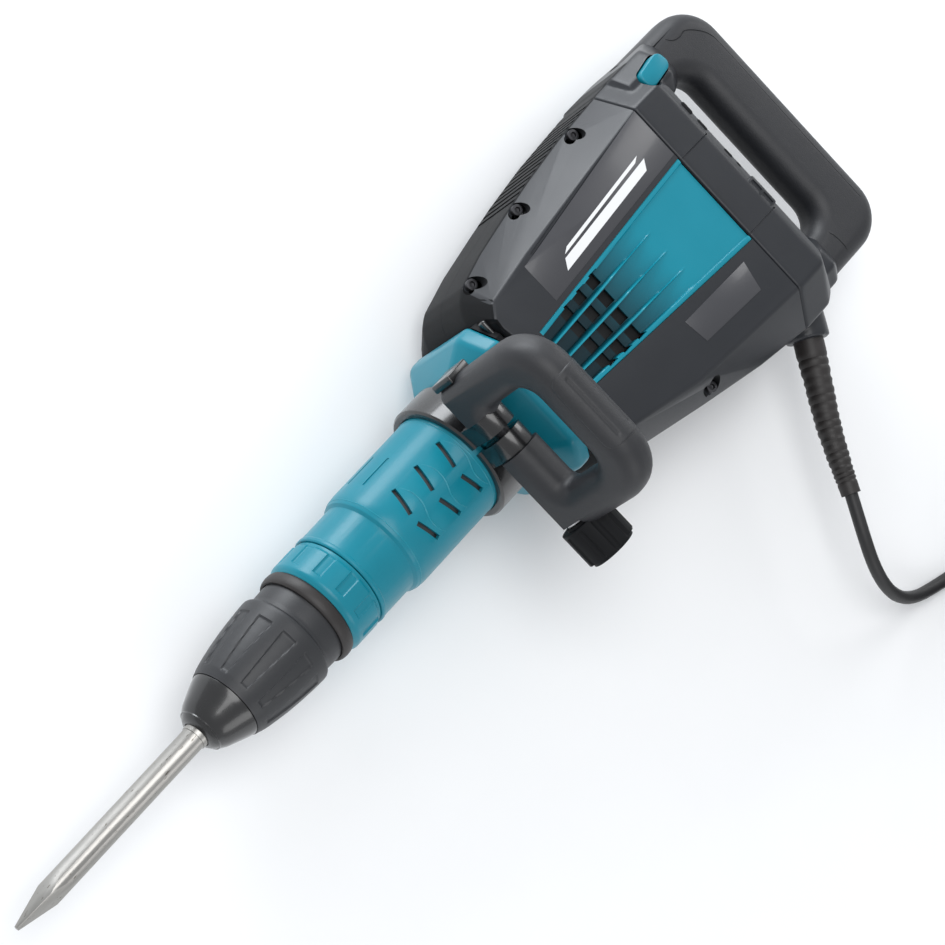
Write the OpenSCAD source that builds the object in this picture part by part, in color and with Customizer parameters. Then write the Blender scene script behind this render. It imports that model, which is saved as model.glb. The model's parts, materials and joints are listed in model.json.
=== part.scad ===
// Demolition hammer with bull-point chisel, swivelling D side handle and mains cord.
// The hammer lies on its right side. X runs along the tool axis towards the rear handle,
// Z is up and Y is across the machine. The origin is under the middle of the hammer.
// Inside the modules, x is measured from the mouth of the tool holder and y, z from the tool axis.

/* [Chisel] */
// Diameter of the chisel in its holder
shank_d = 18; // [17.5:0.1:18]
// Diameter of the chisel outside the holder
shaft_d = 16.4; // [15:0.2:17]
// Length of the chisel outside the mouth
chisel_out = 166; // [120:2:300]
// Length of the pointed flats
point_len = 45; // [30:1:60]

/* [Front end] */
// Outer radius of the change ring
ring_r = 36.7; // [36:0.1:38]
// Number of bit angles that the change ring locks
ring_pads = 12; // [6:1:16]
// Outer radius of the barrel cover
barrel_r = 40.4; // [39.5:0.1:40.6]

/* [Housing] */
// Half of the housing's width
half_w = 60; // [59:0.5:62]
// Wall of the motor housing
wall = 4; // [3:0.5:4]
// Where the motor housing meets the rear cover
split_x = 511.5; // [505:0.5:515]
// Rear face of the rear cover
rear_x = 549; // [545:0.5:552]

/* [Rear handle] */
// Middle of the handle bar
bar_x = 622; // [618:1:624]
// Thickness of the handle bar, along the tool
bar_t = 40; // [36:1:40]
// Width of the handle bar
bar_w = 36; // [32:1:38]
// Height of the upper arm's middle
arm_top = 85; // [84:0.5:87]
// Height of the lower arm's middle
arm_low = -91; // [-93:0.5:-90]

/* [Side handle] */
// Distance of the clamp bolt from the tool axis
bolt_z = 63; // [62:0.5:66]
// Distance from the clamp bolt to the middle of the grip
grip_reach = 75; // [70:1:90]
// Lean of the side handle towards the rear
grip_lean = 12; // [0:1:20]
// Radius of the side handle's tube
grip_r = 15; // [12:0.5:16]
// Number of flutes on the clamp knob
knob_flutes = 10; // [6:1:14]

/* [Drive] */
// Throw of the crank
crank_throw = 15; // [12:0.5:15]
// Piston radius
piston_r = 25; // [22:0.5:25]
// Radius of the stator
stator_r = 46; // [42:1:48]

/* [Cord] */
// Diameter of the mains cord
cord_d = 9.5; // [8:0.5:10]
// Turns of cord in a full layer of the coil
coil_wide = 3; // [2:1:3]

/* [Hidden] */
$fn = 64;
eps = 0.01;
shank_r = shank_d / 2;
run_fit = 0.05;
tip_x = -chisel_out;
chisel_end = 114;
axis_h = half_w;
// Middle of the hammer without its cord
mid_x = (bar_x + bar_t / 2 - chisel_out) / 2;
mid_y = -15.8;
// Where the shafts cross the tool's middle plane
crank_x = 326;
idler_x = 371;
motor_x = 428;
bolt_x = 269;
teal = [0.10, 0.50, 0.58];
dark = [0.23, 0.24, 0.27];
soft = [0.16, 0.16, 0.17];
steel = [0.66, 0.66, 0.68];
alloy = [0.78, 0.79, 0.80];
copper = [0.72, 0.42, 0.25];
// Outline of the housing across its middle and of its flat side
mid_outline = [
    [318, 50], [320, 60], [323, 66], [328, 72], [336, 77.5], [365, 85], [402, 91.5], [430, 96], [468, 100.5],
    [split_x, 103.5], [split_x, -115.5], [466, -108], [410, -96], [355, -83], [322, -70]];
side_outline = [
    [322, 50], [330, 59], [376, 65.5], [split_x, 80], [split_x, -87], [406, -78], [338, -63]];
mid_half = 32;
// Corners of the teal side panel: front low, front high, rear high, rear low
panel = [[345, -27.6], [340.7, 23.5], [split_x - 0.3, 35.6], [split_x - 0.3, -39.6]];
// Middle of the speed dial
dial_at = [540, 8];
// Cord guard, from the rear cover's outlet to its tip
guard_root = [527, -128, 0];
guard_tip = [467, -223, 0];
// Cord from the guard's tip to the coil, in the tool's own x, y, z
cord_route = [
    [467, -223, 0], [459, -236.5, 0], [451, -252, -1.5], [446.5, -268, -7], [447, -284, -16],
    [453, -299, -27.5], [464, -312, -39], [479, -322, -48], [497, -329, -53.5],
    [517, -335, -55.1], [537, -341, -55.1], [557, -347, -55.1], [577, -353, -55.1]];
// Cord from the top of the coil down to the plug
cord_tail = [
    [534, -376, -20.5], [543, -371, -17], [551.5, -366, -13.8], [560, -361, -12.8],
    [577, -351, -12.8], [594, -341.5, -15], [610, -333.5, -23], [624, -328, -33],
    [638, -325, -40.5], [652, -324, -42.5]];
coil_mid = [558.7, -414.5, -half_w];
// Middle of the coil's turns, and its five layers nested in each other
coil_r = 5.75 * cord_d;
coil_in = coil_r - coil_wide * cord_d / 2;
coil_out = coil_r + coil_wide * cord_d / 2;
coil_high = cord_d * (1 + 4 * sin(60));
plug_at = [682, -324, 17.5 - half_w];

// ---------------------------------------------------------------- helpers

// Puts a shape drawn in the tool's own x, y, z into the part's frame
module in_tool() {
    translate([-mid_x, -mid_y, axis_h]) children();
}

// Solid of revolution about the tool axis from [x, r] points
module turned(points) {
    rotate([0, 90, 0])
        rotate_extrude()
            polygon([for (p = points) [p[1], p[0]]]);
}

module rod_x(x0, x1, r, y = 0, z = 0) {
    translate([x0, y, z])
        rotate([0, 90, 0])
            cylinder(h = x1 - x0, r = r);
}

module rod_y(y0, y1, r, x = 0, z = 0) {
    translate([x, y1, z])
        rotate([90, 0, 0])
            cylinder(h = y1 - y0, r = r);
}

module rod_z(z0, z1, r, x = 0, y = 0) {
    translate([x, y, z0])
        cylinder(h = z1 - z0, r = r);
}

module tube_y(y0, y1, r_out, r_in, x = 0, z = 0) {
    difference() {
        rod_y(y0, y1, r_out, x, z);
        rod_y(y0 - 1, y1 + 1, r_in, x, z);
    }
}

module block(low, high) {
    translate(low)
        cube(high - low);
}

// A flat shape in x, y between two heights z
module plate_z(z0, z1) {
    translate([0, 0, z0])
        linear_extrude(z1 - z0)
            children();
}

// A flat shape in x, z between two heights y
module plate_y(y0, y1) {
    translate([0, y1, 0])
        rotate([90, 0, 0])
            linear_extrude(y1 - y0)
                children();
}

// Rectangle with round corners, made of squares and circles
module round_rect(w, h, r) {
    square([w - 2 * r, h], center = true);
    square([w, h - 2 * r], center = true);
    for (a = [-1, 1], b = [-1, 1])
        translate([a * (w / 2 - r), b * (h / 2 - r)])
            circle(r);
}

function inv(a) = tan(a) * 180 / PI - a;

// Flank angle of an involute tooth at radius r
function flank(r, rp, rb, half) = half + inv(acos(rb / rp)) - inv(acos(min(1, rb / r)));

// Spur gear outline; pressure angle 25 degrees, with backlash
module gear_shape(teeth, m, phase = 0) {
    rp = m * teeth / 2;
    rb = rp * cos(25);
    root = rp - 1.1 * m;
    tip = rp + 0.8 * m;
    half = 360 / teeth / 4 - 0.3 / rp * 180 / PI;
    low = max(rb, root + eps);
    radii = [root, low, (low + rp) / 2, rp, tip];
    points = [for (t = [0:teeth - 1]) each concat(
        [for (r = radii) let (a = phase + t * 360 / teeth - flank(max(r, rb), rp, rb, half))
            [r * cos(a), r * sin(a)]],
        [for (k = [4:-1:0]) let (r = radii[k],
            a = phase + t * 360 / teeth + flank(max(r, rb), rp, rb, half))
            [r * cos(a), r * sin(a)]])];
    polygon(points);
}

// Closed tube through points, with a radius for each point
function unit(v) = v / norm(v);
function course(p, i) = unit(p[min(i + 1, len(p) - 1)] - p[max(i - 1, 0)]);
function side_of(t) = unit(cross(t, abs(t[2]) < 0.9 ? [0, 0, 1] : [1, 0, 0]));

module swept(p, radii, sides) {
    n = len(p);
    rings = [for (i = [0:n - 1]) let (t = course(p, i), u = side_of(t), v = cross(t, u))
        each [for (k = [0:sides - 1]) p[i] + radii[i] *
            (cos(360 * k / sides) * u + sin(360 * k / sides) * v)]];
    walls = [for (i = [0:n - 2]) each [for (k = [0:sides - 1]) let (j = (k + 1) % sides)
        [i * sides + k, (i + 1) * sides + k, (i + 1) * sides + j, i * sides + j]]];
    near_end = [for (k = [0:sides - 1]) k];
    far_end = [for (k = [sides - 1:-1:0]) (n - 1) * sides + k];
    polyhedron(rings, concat([near_end], walls, [far_end]), convexity = 6);
}

// Smooth points between the chosen ones
function between(a, b, c, d, t) = 0.5 * ((2 * b) + (c - a) * t +
    (2 * a - 5 * b + 4 * c - d) * t * t + (3 * b - a - 3 * c + d) * t * t * t);
function smooth(p, steps) = [for (i = [0:len(p) - 2]) each [for (s = [0:steps - 1])
    between(p[max(i - 1, 0)], p[i], p[i + 1], p[min(i + 2, len(p) - 1)], s / steps)]];

// Coil spring along the tool axis
module spring_x(x0, x1, r, wire_r, turns) {
    steps = turns * 12;
    p = [for (i = [0:steps]) let (a = i * 30)
        [x0 + wire_r + (x1 - x0 - 2 * wire_r) * i / steps, r * cos(a), r * sin(a)]];
    swept(p, [for (i = [0:steps]) wire_r], 6);
}

// ---------------------------------------------------------------- chisel and tool holder

module chisel() {
    wedge = [
        [tip_x, -1.2], [tip_x, 1.2], [tip_x + point_len, 8.6], [tip_x + point_len + 3, 10],
        [chisel_end, 10], [chisel_end, -10], [tip_x + point_len + 3, -10],
        [tip_x + point_len, -8.6]];
    color(steel) in_tool() difference() {
        intersection() {
            union() {
                rod_x(tip_x, -3, shaft_d / 2);
                rod_x(-3 - eps, chisel_end, shank_r);
            }
            for_wedge(wedge, 42);
            for_wedge(wedge, 132);
        }
        for (s = [-1, 1]) {
            rod_x(46, 78, 3.4, s * 8.8);
            translate([46, s * 8.8, 0]) sphere(3.4);
            translate([78, s * 8.8, 0]) sphere(3.4);
            block([62, -2.6, s > 0 ? 6 : -10], [chisel_end + 1, 2.6, s > 0 ? 10 : -6]);
        }
    }
}

module for_wedge(points, turn) {
    rotate([turn, 0, 0])
        plate_z(-12, 12)
            polygon(points);
}

module tool_holder() {
    color(steel) in_tool() difference() {
        turned([
            [4.4, shank_r + run_fit], [4.4, 15.6], [30, 16], [44, 16], [45, 13], [100, 13],
            [100, 24], [128, 24], [128, 22], [149.5, 22], [149.5, 14], [116, 14],
            [116, shank_r + run_fit]]);
        block([49.7, -30, -3.1], [60.3, 30, 3.1]);
    }
}

module retainer(side) {
    color(steel) in_tool() rod_x(50, 60, 3, side * 8.75);
}

module retainer_upper() {
    retainer(1);
}

module retainer_lower() {
    retainer(-1);
}

module nose_cap() {
    color("black") in_tool() turned([
        [0, 9.6], [0.5, 12.6], [4, 16], [8.8, 19.4], [12.8, 20.8], [27.3, 26.3], [27.3, 16.3],
        [3.6, 16.3], [3.6, 9.6]]);
}

module release_cover() {
    grips = 11;
    color(dark) in_tool() difference() {
        turned([
            [27.7, 16.4], [27.7, 26.9], [34, 29], [46, 31.4], [58, 33.2], [72, 34.6], [84, 35.3],
            [88.2, 34.2], [88.2, 32], [99, 32.6], [104, 32.6], [104, 29.6], [66, 29.6], [48, 26.5],
            [38, 23], [30, 19.5], [30, 16.4]]);
        for (k = [0:grips - 1])
            rotate([-6.3 - k * 360 / grips, 0, 0])
                translate([56, 0, 36.5])
                    rotate([0, -7, 0])
                        cube([42, 8, 6], center = true);
    }
}

module lock_cone() {
    color(steel) in_tool() turned([
        [48.6, 16.2], [48.6, 26], [66, 29.2], [66, 13.4], [60, 13.4]]);
}

module release_spring() {
    color(steel) in_tool() spring_x(66.2, 99.8, 18, 1.4, 5);
}

module rim_ring() {
    color(soft) in_tool() turned([
        [103, 33.2], [103, 34.6], [105, 35.7], [110.5, 35.7], [112.5, 34.8], [112.5, 33.2]]);
}

module change_ring() {
    pad_turn = 360 / ring_pads;
    color(teal) in_tool() difference() {
        turned([
            [112.8, 33.2], [112.8, 34.2], [116, ring_r], [136, ring_r], [137.5, ring_r - 1.4],
            [139.6, ring_r - 1.4], [139.6, 33], [126, 33], [126, 24.3], [119, 24.3], [119, 33.2]]);
        for (k = [0:ring_pads - 1])
            rotate([k * pad_turn, 0, 0])
                block([121, -3.2, ring_r - 1.1], [136.2, 3.2, ring_r + 2]);
    }
}

// ---------------------------------------------------------------- hammer mechanism

module impact_bolt() {
    color(steel) in_tool() turned([
        [114.4, 0], [114.4, 8.4], [115.4, 8.8], [126, 8.8], [127.5, 13.95], [164.5, 13.95],
        [166, 12], [170, 10], [170, 0]]);
}

module striker() {
    color(steel) in_tool() turned([
        [172, 0], [172, 11], [176, 12], [178, piston_r - 1], [179, piston_r], [188, piston_r],
        [188, piston_r - 2], [192, piston_r - 2], [192, piston_r], [205, piston_r],
        [206, piston_r - 1], [206, 0]]);
}

module cylinder_part() {
    color(alloy) in_tool() difference() {
        turned([
            [168.3, piston_r + run_fit], [168.3, 28.5], [284, 28.5], [284, piston_r + run_fit]]);
        for (k = [0:5])
            rotate([k * 60, 0, 0])
                rod_z(20, 35, 2, 214, 0);
    }
}

module piston() {
    color(alloy) in_tool() difference() {
        turned([
            [232, 0], [232, piston_r - 0.6], [233, piston_r], [236, piston_r],
            [236, piston_r - 2], [240, piston_r - 2], [240, piston_r], [258, piston_r],
            [258, 20], [239, 20], [237, 0]]);
        rod_y(-30, 30, 6.02, 247.5);
    }
}

module piston_pin() {
    color(steel) in_tool() difference() {
        rod_y(-22, 22, 6, 247.5);
        rod_y(-23, 23, 3, 247.5);
    }
}

module connecting_rod() {
    big_x = crank_x - crank_throw;
    color(steel) in_tool() difference() {
        union() {
            rod_y(-7, 7, 8.8, 247.5);
            rod_y(-8, 8, 12, big_x);
            block([247.5, -5, -5.5], [big_x, 5, 5.5]);
        }
        rod_y(-9, 9, 6.03, 247.5);
        rod_y(-9, 9, 7, big_x);
    }
}

module crankshaft() {
    color(steel) in_tool() {
        rod_y(-48, -19, 8, crank_x);
        rod_y(-19, -9.5, 24, crank_x);
        rod_y(-9.5, -8.4, 6, crank_x - crank_throw);
    }
}

module crank_gear() {
    color(steel) in_tool() difference() {
        translate([crank_x, 0, 0])
            plate_y(-46, -34) gear_shape(24, 2.5);
        rod_y(-50, -30, 8.02, crank_x);
        for (k = [0:5])
            rotate_about(crank_x, k * 60)
                rod_y(-50, -30, 5, 18);
    }
}

module rotate_about(x, turn) {
    translate([x, 0, 0])
        rotate([0, turn, 0])
            children();
}

module idler_gear() {
    color(steel) in_tool() {
        translate([idler_x, 0, 0]) {
            plate_y(-60, -50) gear_shape(45, 2);
            plate_y(-50 - eps, -34) gear_shape(12, 2.5, 15);
            rod_y(-68, -60 + eps, 6);
            rod_y(-34 - eps, -23, 8);
        }
    }
}

module armature_shaft() {
    color(steel) in_tool() {
        translate([motor_x, 0, 0]) {
            plate_y(-60, -49) gear_shape(12, 2, 15);
            rod_y(-49 - eps, 84, 6);
        }
    }
}

module armature_core() {
    color("dimgray") in_tool() difference() {
        union() {
            rod_y(-18, 32, 25, motor_x);
            rod_y(-24, -18 + eps, 20, motor_x);
            rod_y(32 - eps, 40, 20, motor_x);
        }
        rod_y(-30, 50, 6.02, motor_x);
        for (k = [0:11])
            rotate_about(motor_x, k * 30)
                block([20, -17, -1.2], [26, 31, 1.2]);
    }
}

module commutator() {
    color(copper) in_tool() difference() {
        union() {
            rod_y(44, 66, 15, motor_x);
            rod_y(42, 44 + eps, 17, motor_x);
        }
        rod_y(40, 70, 6.02, motor_x);
    }
}

module fan() {
    blades = 14;
    color("gray") in_tool() difference() {
        union() {
            rod_y(-36, -34, 38, motor_x);
            rod_y(-36, -26, 11, motor_x);
            for (k = [0:blades - 1])
                rotate_about(motor_x, k * 360 / blades)
                    block([10, -34 - eps, -1], [37, -27, 1]);
        }
        rod_y(-40, -20, 6.02, motor_x);
    }
}

module bearing(y0, y1, r_out, r_in, x) {
    difference() {
        tube_y(y0, y1, r_out, r_in, x);
        tube_y(y1 - 1, y1 + 1, (r_out * 2 + r_in) / 3, (r_out + 2 * r_in) / 3, x);
    }
}

module ball_bearings() {
    color(alloy) in_tool() {
        bearing(-33, -20, 20, 8.05, crank_x);
        bearing(-32, -23.3, 15, 8.05, idler_x);
        bearing(-68, -61.5, 13, 6.05, idler_x);
        bearing(-47, -38.5, 13, 6.05, motor_x);
        bearing(73, 81, 12, 6.05, motor_x);
    }
}

module stator() {
    color("slategray") in_tool() difference() {
        rod_y(-18, 32, stator_r, motor_x);
        rod_y(-20, 34, 25.6, motor_x);
        for (k = [0:3])
            rotate_about(motor_x, 45 + k * 90)
                rod_y(-20, 34, 2.5, 41);
    }
}

module field_coils() {
    color(copper) in_tool() {
        tube_y(-25.6, -18.2, 39, 27, motor_x);
        tube_y(32.2, 40, 39, 27, motor_x);
    }
}

module carbon_brushes() {
    color("black") in_tool() for (s = [-1, 1])
        block([motor_x - 3, 50, s > 0 ? 15.3 : -34], [motor_x + 3, 60, s > 0 ? 34 : -15.3]);
}

module brush_holders() {
    color("saddlebrown") in_tool() for (s = [-1, 1])
        difference() {
            block([motor_x - 7, 46, s > 0 ? 18 : -40], [motor_x + 7, 64, s > 0 ? 40 : -18]);
            block([motor_x - 3.1, 49.9, s > 0 ? 10 : -34.3], [motor_x + 3.1, 60.1, s > 0 ? 34.3 : -10]);
        }
}

// ---------------------------------------------------------------- barrel and crank case

module barrel() {
    color(alloy) in_tool() difference() {
        turned([
            [130, 22 + run_fit], [130, 27], [141, 28], [142, 33], [172, 33], [182, 36.8],
            [263.7, 36.8], [263.7, 34], [184, 34], [182, 30], [168, 30], [168, 14], [150, 14],
            [150, 22 + run_fit]]);
        for (k = [0:11])
            rotate([k * 30, 0, 0])
                rod_z(30, 45, 3, 154, 0);
    }
}

module barrel_cover() {
    slot_rows = [192, 215, 238];
    color(teal) in_tool() difference() {
        turned([
            [140.2, 33.4], [140.2, 36.4], [141.2, 37], [143, 37], [144, 36.4], [172, 36.6],
            [173.6, 38.8], [178, barrel_r - 0.4], [182, barrel_r], [256, barrel_r],
            [257, barrel_r + 0.5], [261.5, barrel_r + 0.5], [261.5, 37.2], [182, 37.2],
            [172, 33.4]]);
        for (side = [0, 180], x = slot_rows)
            rotate([side, 0, 0]) {
                cooling_slot(x + 2.8, 15.5, -16);
                cooling_slot(x + 2.8, -22, 20);
            }
        for (turn = [-58, -82])
            rotate([turn, 0, 0])
                block([191, -1, barrel_r - 0.8], [217, 1, barrel_r + 2]);
    }
}

// One slanted slot through the barrel cover, at an angle round the barrel
module cooling_slot(x, around, lean) {
    rotate([-around, 0, 0])
        translate([x, 0, barrel_r])
            rotate([0, 0, lean])
                cube([3.4, 20, 14], center = true);
}

module case_section(half_y0, half_y1, half_z, cut) {
    polygon([
        [half_y0 + cut, -half_z], [half_y1 - cut, -half_z], [half_y1, cut - half_z],
        [half_y1, half_z - cut], [half_y1 - cut, half_z], [half_y0 + cut, half_z],
        [half_y0, half_z - cut], [half_y0, cut - half_z]]);
}

// A flat shape in y, z between two places x
module plate_x(x0, x1) {
    translate([x0, 0, 0])
        rotate([90, 0, 90])
            linear_extrude(x1 - x0)
                children();
}

module crank_case() {
    side = half_w - 0.3;
    color(teal) in_tool() difference() {
        union() {
            hull() {
                plate_x(284, 285) case_section(-43, 43, 42, 14);
                plate_x(303, 315.7) case_section(-61, 58, side, 19);
            }
            plate_x(315, 324) case_section(-56, 54, 55, 14);
            rod_x(264, 285, 41.1);
        }
        hull() {
            plate_x(287.5, 288.5) case_section(-41, 41, 40, 13);
            plate_x(302, 330) case_section(-54, 52, 53, 14);
        }
        rod_x(250, 300, 34);
    }
}

module gear_plate() {
    color(alloy) in_tool() {
        difference() {
            union() {
                block([335, -65.5, -40], [392, -62.3, 40]);
                rod_y(-72, -62.3, 18, idler_x);
            }
            rod_y(-69, -60, 13.03, idler_x);
        }
        difference() {
            block([302, -32, -40], [388, -24, 40]);
            rod_y(-40, -10, 20.03, crank_x);
            rod_y(-40, -10, 15.03, idler_x);
        }
    }
}

module counterweight() {
    color(steel) in_tool() difference() {
        turned([[206, 29], [206, 33.6], [240, 33.6], [240, 29]]);
        for (k = [0:2])
            rotate([k * 120, 0, 0])
                block([190, -2, 32.6], [250, 2, 35]);
    }
}

module counterweight_springs() {
    color(steel) in_tool() {
        spring_x(184.3, 205.8, 31.2, 1.2, 4);
        spring_x(240.2, 263.6, 31.2, 1.2, 4);
    }
}

// ---------------------------------------------------------------- housing

// Body of the housing; inset shrinks it and the rear may run on
module housing_body(inset, run_on) {
    hull() {
        plate_z(-mid_half, mid_half)
            offset(delta = -inset) reach(mid_outline, run_on);
        plate_z(-half_w + inset, half_w - inset)
            offset(delta = -inset) reach(side_outline, run_on);
    }
}

module reach(points, run_on) {
    polygon([for (p = points) p[0] == split_x ? [p[0] + run_on, p[1]] : p]);
}

module housing() {
    difference() {
        housing_body(0, 0);
        difference() {
            housing_body(wall, 20);
            for (p = screw_places)
                rod_z(-52, 52, 8.5, p[0], p[1]);
        }
        block([280, -66.3, -80], [316.2, 62.3, 80]);
        plate_x(300, 330) case_section(-56.4, 54.4, 55.4, 14);
        block([323.9, -62, -14], [330, -56, 14]);
        for (s = [-1, 1])
            mirror_z(s) {
                plate_z(half_w - wall - 2, half_w + 2) polygon(panel);
                for (k = [0:13])
                    vent(412 + 7 * k, abs(412 + 7 * k - screw_places[2][0]) > 9);
            }
        for (p = screw_places) {
            rod_z(p[2], 70, 5.5, p[0], p[1]);
            rod_z(p[2] - 24, p[2] + 1, 2.05, p[0], p[1]);
        }
    }
}

// Groove across the housing's narrow face, with a slot through the wall behind it if open
module vent(x, open) {
    y = lookup(x, [for (i = [5:9]) mid_outline[i]]);
    block([x - 1.5, y - 2.4, -0.1], [x + 1.5, y + 8, 31]);
    if (open)
        block([x - 0.9, y - 8, 4], [x + 0.9, y, 28]);
}

// Places of the four housing screws, each with the height of its well's floor
screw_places = [[342, 74.5, 32], [406, 87.3, 32], [478, 95.5, 32], [419, -90, 38]];

module mirror_z(s) {
    mirror([0, 0, s > 0 ? 0 : 1])
        children();
}

module housing_left() {
    color(dark) in_tool() intersection() {
        housing();
        block([250, -150, 0.05], [600, 150, 100]);
    }
}

module housing_right() {
    color(dark) in_tool() intersection() {
        housing();
        block([250, -150, -100], [600, 150, -0.05]);
    }
}

// Teal side panel with edge ridges, fins and cooling slots
module side_panel(s) {
    inner = offset_panel(0.2);
    color(teal) in_tool() mirror_z(s) difference() {
        union() {
            plate_z(half_w - wall + 0.4, half_w - 1.6) polygon(inner);
            plate_z(half_w - 2, half_w) edge_ridge(inner[0], inner[3], 3);
            plate_z(half_w - 2, half_w) edge_ridge(inner[1], inner[2], -3);
            for (k = [1:3])
                plate_z(half_w - 2, half_w - 0.2) edge_ridge(
                    inner[0] * (1 - k / 4) + inner[1] * k / 4 + [1, 0],
                    (inner[3] * (1 - k / 4) + inner[2] * k / 4) * 0.55 + inner[0] * 0.45
                        + [0, (inner[1][1] - inner[0][1]) * k / 4 * 0.45], 2);
        }
        for (k = [0:3], n = [0:3])
            translate([354 + 19 * n, panel_row(354 + 19 * n, k), 55])
                cube([9, 6, 8]);
    }
}

// Height of the middle of gap k between the fins at place x
function panel_row(x, k) = let (t = (x - 343) / 168, low = -27.6 - 12 * t, high = 23.5 + 12.1 * t)
    low + (high - low) * (k + 0.5) / 4 - 3;

function offset_panel(d) = [
    panel[0] + [d, d], panel[1] + [d, -d], panel[2] + [0, -d], panel[3] + [0, d]];

module edge_ridge(a, b, width) {
    polygon([a, b, b + [0, width], a + [0, width]]);
}

module side_panel_left() {
    side_panel(1);
}

module side_panel_right() {
    side_panel(-1);
}

module rear_body(inset) {
    hull() {
        plate_z(-mid_half, mid_half)
            polygon([
                [split_x - inset, 103.5 - inset], [540, 104 - inset], [rear_x - inset, 101 - inset],
                [rear_x - inset, -110 + inset], [540, -115.5 + inset],
                [split_x - inset, -115.5 + inset]]);
        plate_z(-half_w + inset, half_w - inset)
            polygon([
                [split_x - inset, 80 - inset], [rear_x - 8, 80 - inset], [rear_x - 8, -87 + inset],
                [split_x - inset, -87 + inset]]);
        plate_z(-half_w + 5 + inset, half_w - 5 - inset)
            polygon([
                [rear_x - 8, 78 - inset], [rear_x - inset, 74 - inset],
                [rear_x - inset, -80 + inset], [rear_x - 8, -85 + inset]]);
    }
}

// Shoulder that carries one arm of the handle
module shoulder(y_mid, half_y, z_wide, x_end) {
    hull() {
        plate_x(528, 562)
            translate([y_mid, 0]) case_section(-half_y, half_y, z_wide, 12);
        plate_x(x_end - 1, x_end)
            translate([y_mid, 0]) case_section(-half_y + 1, half_y - 1, bar_w / 2, 8);
    }
}

guard_dir = unit(guard_tip - guard_root);
guard_turn = atan2(guard_dir[1], guard_dir[0]);

// Puts a shape drawn along x at the guard's root, pointing along the guard
module along_guard() {
    translate(guard_root)
        rotate([0, 0, guard_turn])
            children();
}

module rear_cover() {
    color(dark) in_tool() difference() {
        union() {
            intersection() {
                rear_body(0);
                block([split_x + 0.1, -200, -100], [600, 200, 100]);
            }
            shoulder(arm_top, bar_t / 2 - 0.5, 50, 588);
            shoulder(arm_low, bar_t / 2 - 0.5, 38, 578);
            along_guard() rod_x(-26, 0, 16);
        }
        intersection() {
            rear_body(wall);
            block([split_x - 1, -200, -100], [600, 200, 100]);
        }
        block([510, -200, -100], [split_x + 0.1, 200, 100]);
        plate_z(-70, 70) lever_shape(0.4);
        block([rear_x - 6, -6.5, 33], [rear_x + 6, 22.5, 43]);
        block([rear_x - 6, -36.2, 24.8], [rear_x + 6, -9.8, 50.2]);
        along_guard() rod_x(-30, 1, 11.3);
    }
}

// ---------------------------------------------------------------- rear handle

// The handle's bar, arms and round corners with a section of t by w
module handle_bend(t, w, r, top_x, low_x) {
    corner = bar_t / 2 + 0.5;
    translate([bar_x, 0, 0])
        plate_y(arm_low + corner, arm_top - corner) round_rect(t, w, r);
    translate([bar_x - corner, arm_top - corner, 0])
        rotate_extrude(angle = 90)
            translate([corner, 0]) round_rect(t, w, r);
    translate([bar_x - corner, arm_low + corner, 0])
        rotate([0, 0, -90])
            rotate_extrude(angle = 90)
                translate([corner, 0]) round_rect(t, w, r);
    translate([0, arm_top, 0])
        plate_x(top_x, bar_x - corner) round_rect(t, w, r);
    translate([0, arm_low, 0])
        plate_x(low_x, bar_x - corner) round_rect(t, w, r);
}

module handle_core() {
    difference() {
        handle_bend(bar_t - 8, bar_w - 8, 12, 588.3, 578.3);
        handle_bend(bar_t - 15, bar_w - 15, 9, 570, 560);
    }
}

module handle_left() {
    color(dark) in_tool() intersection() {
        handle_core();
        block([550, -150, 0.05], [700, 150, 60]);
    }
}

module handle_right() {
    color(dark) in_tool() intersection() {
        handle_core();
        block([550, -150, -60], [700, 150, -0.05]);
    }
}

module handle_grip() {
    color(soft) in_tool() difference() {
        handle_bend(bar_t, bar_w, 15, 588.3, 578.3);
        handle_bend(bar_t - 7.6, bar_w - 7.6, 12.2, 580, 570);
    }
}

module lever_shape(more) {
    translate([551, 88])
        rotate(8)
            round_rect(26 + 2 * more, 14 + 2 * more, 5 + more);
}

module switch_lever() {
    color(teal) in_tool() plate_z(-47, 53) lever_shape(0);
}

module switch_body() {
    color("black") in_tool() block([516, 76, -14], [533, 98, 14]);
}

module speed_dial() {
    teeth = 20;
    color(soft) in_tool() difference() {
        rod_z(34, 42, 13.5, dial_at[0], dial_at[1]);
        rod_z(33, 43, 2, dial_at[0], dial_at[1]);
        for (k = [0:teeth - 1])
            translate([dial_at[0], dial_at[1], 33])
                rotate([0, 0, k * 360 / teeth])
                    translate([13.9, 0, 0])
                        cylinder(h = 10, r = 0.9);
    }
}

module controller() {
    color("darkgreen") in_tool() block([515, -60, -30], [542, -6, 22]);
}

module indicator_lamps() {
    color("lightgray") in_tool() {
        block([rear_x - 4, -22.8, 25], [rear_x + 1.5, -10, 50]);
        block([rear_x - 4, -36, 25], [rear_x + 1.5, -23, 50]);
    }
}

// ---------------------------------------------------------------- side handle

module at_bolt() {
    translate([bolt_x, 0, bolt_z])
        rotate([0, grip_lean, 0])
            children();
}

module clamp_band() {
    color("black") in_tool() difference() {
        union() {
            turned([
                [254.5, 41.15], [254.5, 45], [256, 46.4], [279.5, 46.4], [281, 45],
                [281, 41.15]]);
            rod_y(-18, 14, 13, bolt_x, bolt_z);
            block([bolt_x - 13, -18, 44], [bolt_x + 12, 14, bolt_z]);
        }
        rod_x(240, 300, 41.15);
        rod_y(-20, 20, 5.02, bolt_x, bolt_z);
        block([240, -4, 38], [300, 0, 90]);
    }
}

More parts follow.
